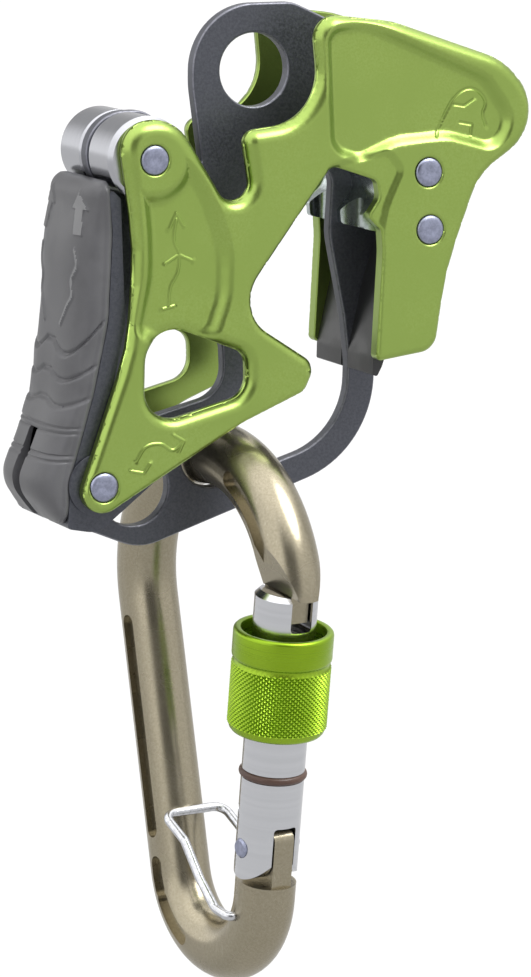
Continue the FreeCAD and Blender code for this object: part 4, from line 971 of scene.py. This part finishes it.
# The solids that stay as the CAD has them.
NODE_FINISHES = {
    "center_plate": DARK,
    "roller_bush_front": BUSH_STEEL, "roller_bush_rear": BUSH_STEEL,
    "pivot_bush_front": BUSH_STEEL, "pivot_bush_rear": BUSH_STEEL,
    "roller_front": ROLLER_STEEL, "roller_rear": ROLLER_STEEL,
    "brake_insert_front": INSERT_ZINC, "brake_insert_rear": INSERT_ZINC,
    "channel_liner_front": LINER_PLASTIC, "channel_liner_rear": LINER_PLASTIC,
    "lever_frame": FRAME_DARK, "lever_spring": SPRING_STEEL,
    "carabiner_body": CHAMPAGNE, "gate": GATE_METAL, "gate_rivet": RIVET_STEEL,
    "gate_plunger": GATE_METAL, "gate_spring": SPRING_STEEL, "stop_ring": STOP_RUBBER,
    "wire_keeper": WIRE_STEEL,
}


def dress(made, *finishes):
    made.data.materials.clear()
    for finish in finishes:
        made.data.materials.append(finish)


for node, finish in NODE_FINISHES.items():
    dress(nodes[node], finish)
plate_parts = forged_plate()
dress(add_plate("front_plate_forged", "front_plate", -1), GREEN)
dress(add_plate("rear_plate_forged", "rear_plate", 1), GREEN)
for node, place in RIVET_PLACES.items():
    dress(add_rivet(node, place), RIVET_STEEL)
dress(add_sleeve(), SLEEVE)
add_grip()
dress(add_spring_cover(), FRAME_DARK)

# ---- Floor, light and camera ----

FLOOR_HEIGHT, FLOOR_REACH, FLOOR_TONE = -0.30, 14.0, 0.6
# The floor's own glow, as the camera sees it and as metal mirrors it, keeps it near white.
FLOOR_GLOW_SEEN, FLOOR_GLOW_MIRRORED = 0.38, 0.12

# What metal sees round it: a level at every side, with bands by bearing from the front. A band
# is (how much brighter, (bearings in degrees where it starts, is full, fades and ends)).
WALL_LEVEL = 0.55
STUDIO_BANDS = [
    (1.5, (-172, -150, -56, -38)),  # a bright sheet at the left
    (-0.4, (-46, -32, -10, 6)),  # a dark part beside the camera
    (0.75, (0, 15, 75, 90)),  # a paler wall at the right
    (0.45, (80, 95, 150, 170)),  # and behind
]
# A bright sheet overhead: its level and the heights where it starts and is full, and the plain
# light that everything not mirrored gets.
OVERHEAD_LEVEL, OVERHEAD_START, OVERHEAD_FULL = 2.7, 0.42, 0.85
PLAIN_LEVEL = 0.6
KEY_PLACE, KEY_TARGET, KEY_ENERGY, KEY_SPREAD = (0.55, -0.75, 1.15), (0.0, 0.0, -0.09), 2.2, 35

# The photograph's viewpoint: left of the plates' normal and a little above, in degrees and
# metres. The photograph is 977 pixels high and its focal length is 4500 of them.
CAMERA_TURN, CAMERA_RISE, CAMERA_REACH = 24.2, 10.0, 0.9184
CAMERA_TARGET = (0.003154, 0, -0.085605)
FOCAL_PIXELS, PHOTO_PIXELS, SENSOR_WIDTH = 4500, 977, 36


def seen_directly(tree, path):
    """One where the camera sees a thing, also through glass, and nought in its other uses."""
    return math_node(tree, "MAXIMUM", path.outputs["Is Camera Ray"],
                     path.outputs["Is Transmission Ray"])


def add_floor():
    mesh = bpy.data.meshes.new("floor")
    corners = [(x * FLOOR_REACH, y * FLOOR_REACH, FLOOR_HEIGHT)
               for x, y in ((-1, -1), (1, -1), (1, 1), (-1, 1))]
    mesh.from_pydata(corners, [], [(0, 1, 2, 3)])
    floor = put_in_scene("floor", mesh)
    material = bpy.data.materials.new("pale floor")
    material.use_nodes = True
    tree = material.node_tree
    shader = tree.nodes["Principled BSDF"]
    shader.inputs["Base Color"].default_value = (FLOOR_TONE, FLOOR_TONE, FLOOR_TONE, 1)
    shader.inputs["Roughness"].default_value = 0.9
    shader.inputs["Emission Color"].default_value = (1, 1, 1, 1)
    path = tree.nodes.new("ShaderNodeLightPath")
    mirrored = math_node(tree, "MULTIPLY", path.outputs["Is Glossy Ray"], FLOOR_GLOW_MIRRORED)
    glow = math_node(tree, "MULTIPLY_ADD", seen_directly(tree, path), FLOOR_GLOW_SEEN, mirrored)
    tree.links.new(glow, shader.inputs["Emission Strength"])
    mesh.materials.append(material)


def add_world():
    """The studio: white where the camera sees it, soft walls and sheets where metal does."""
    world = bpy.data.worlds.new("studio")
    bpy.context.scene.world = world
    world.use_nodes = True
    tree = world.node_tree
    tree.nodes.clear()
    out = tree.nodes.new("ShaderNodeOutputWorld")
    background = tree.nodes.new("ShaderNodeBackground")
    tree.links.new(background.outputs[0], out.inputs["Surface"])
    path = tree.nodes.new("ShaderNodeLightPath")
    split = tree.nodes.new("ShaderNodeSeparateXYZ")
    tree.links.new(tree.nodes.new("ShaderNodeTexCoord").outputs["Generated"], split.inputs[0])
    forward = math_node(tree, "MULTIPLY", split.outputs["Y"], -1)
    bearing = math_node(tree, "ARCTAN2", split.outputs["X"], forward)
    around = WALL_LEVEL
    for brighter, bearings in STUDIO_BANDS:
        start, full, fade, end = [math.radians(turn) for turn in bearings]
        band = math_node(tree, "MULTIPLY", spread_node(tree, bearing, start, full),
                         spread_node(tree, bearing, end, fade))
        around = math_node(tree, "MULTIPLY_ADD", band, brighter, around)
    overhead = spread_node(tree, split.outputs["Z"], OVERHEAD_START, OVERHEAD_FULL)
    mirrored = math_node(tree, "MULTIPLY_ADD", overhead,
                         math_node(tree, "SUBTRACT", OVERHEAD_LEVEL, around), around)
    glossy = path.outputs["Is Glossy Ray"]
    plain = math_node(tree, "MULTIPLY", math_node(tree, "SUBTRACT", 1.0, glossy), PLAIN_LEVEL)
    level = math_node(tree, "ADD", math_node(tree, "MULTIPLY", glossy, mirrored), plain)
    level = math_node(tree, "MAXIMUM", level, seen_directly(tree, path))
    tree.links.new(level, background.inputs["Strength"])


def aim(made, back):
    """Turns a lamp or camera to look the opposite way from back."""
    made.rotation_euler = (-back).to_track_quat("-Z", "Y").to_euler()


def add_key_light():
    data = bpy.data.lights.new("key", "SUN")
    data.energy = KEY_ENERGY
    data.angle = math.radians(KEY_SPREAD)
    lamp = put_in_scene("key", data)
    lamp.location = KEY_PLACE
    aim(lamp, Vector(KEY_PLACE) - Vector(KEY_TARGET))


def add_camera():
    turn, rise = math.radians(CAMERA_TURN), math.radians(CAMERA_RISE)
    back = Vector((-math.sin(turn) * math.cos(rise), -math.cos(turn) * math.cos(rise),
                   math.sin(rise)))
    data = bpy.data.cameras.new("camera")
    data.sensor_width = SENSOR_WIDTH
    data.lens = FOCAL_PIXELS * SENSOR_WIDTH / PHOTO_PIXELS
    data.clip_start, data.clip_end = 0.05, 100
    camera = put_in_scene("camera", data)
    camera.location = Vector(CAMERA_TARGET) + back * CAMERA_REACH
    aim(camera, back)
    bpy.context.scene.camera = camera


add_floor()
add_world()
add_key_light()
add_camera()
bpy.context.scene.view_settings.view_transform = "Standard"
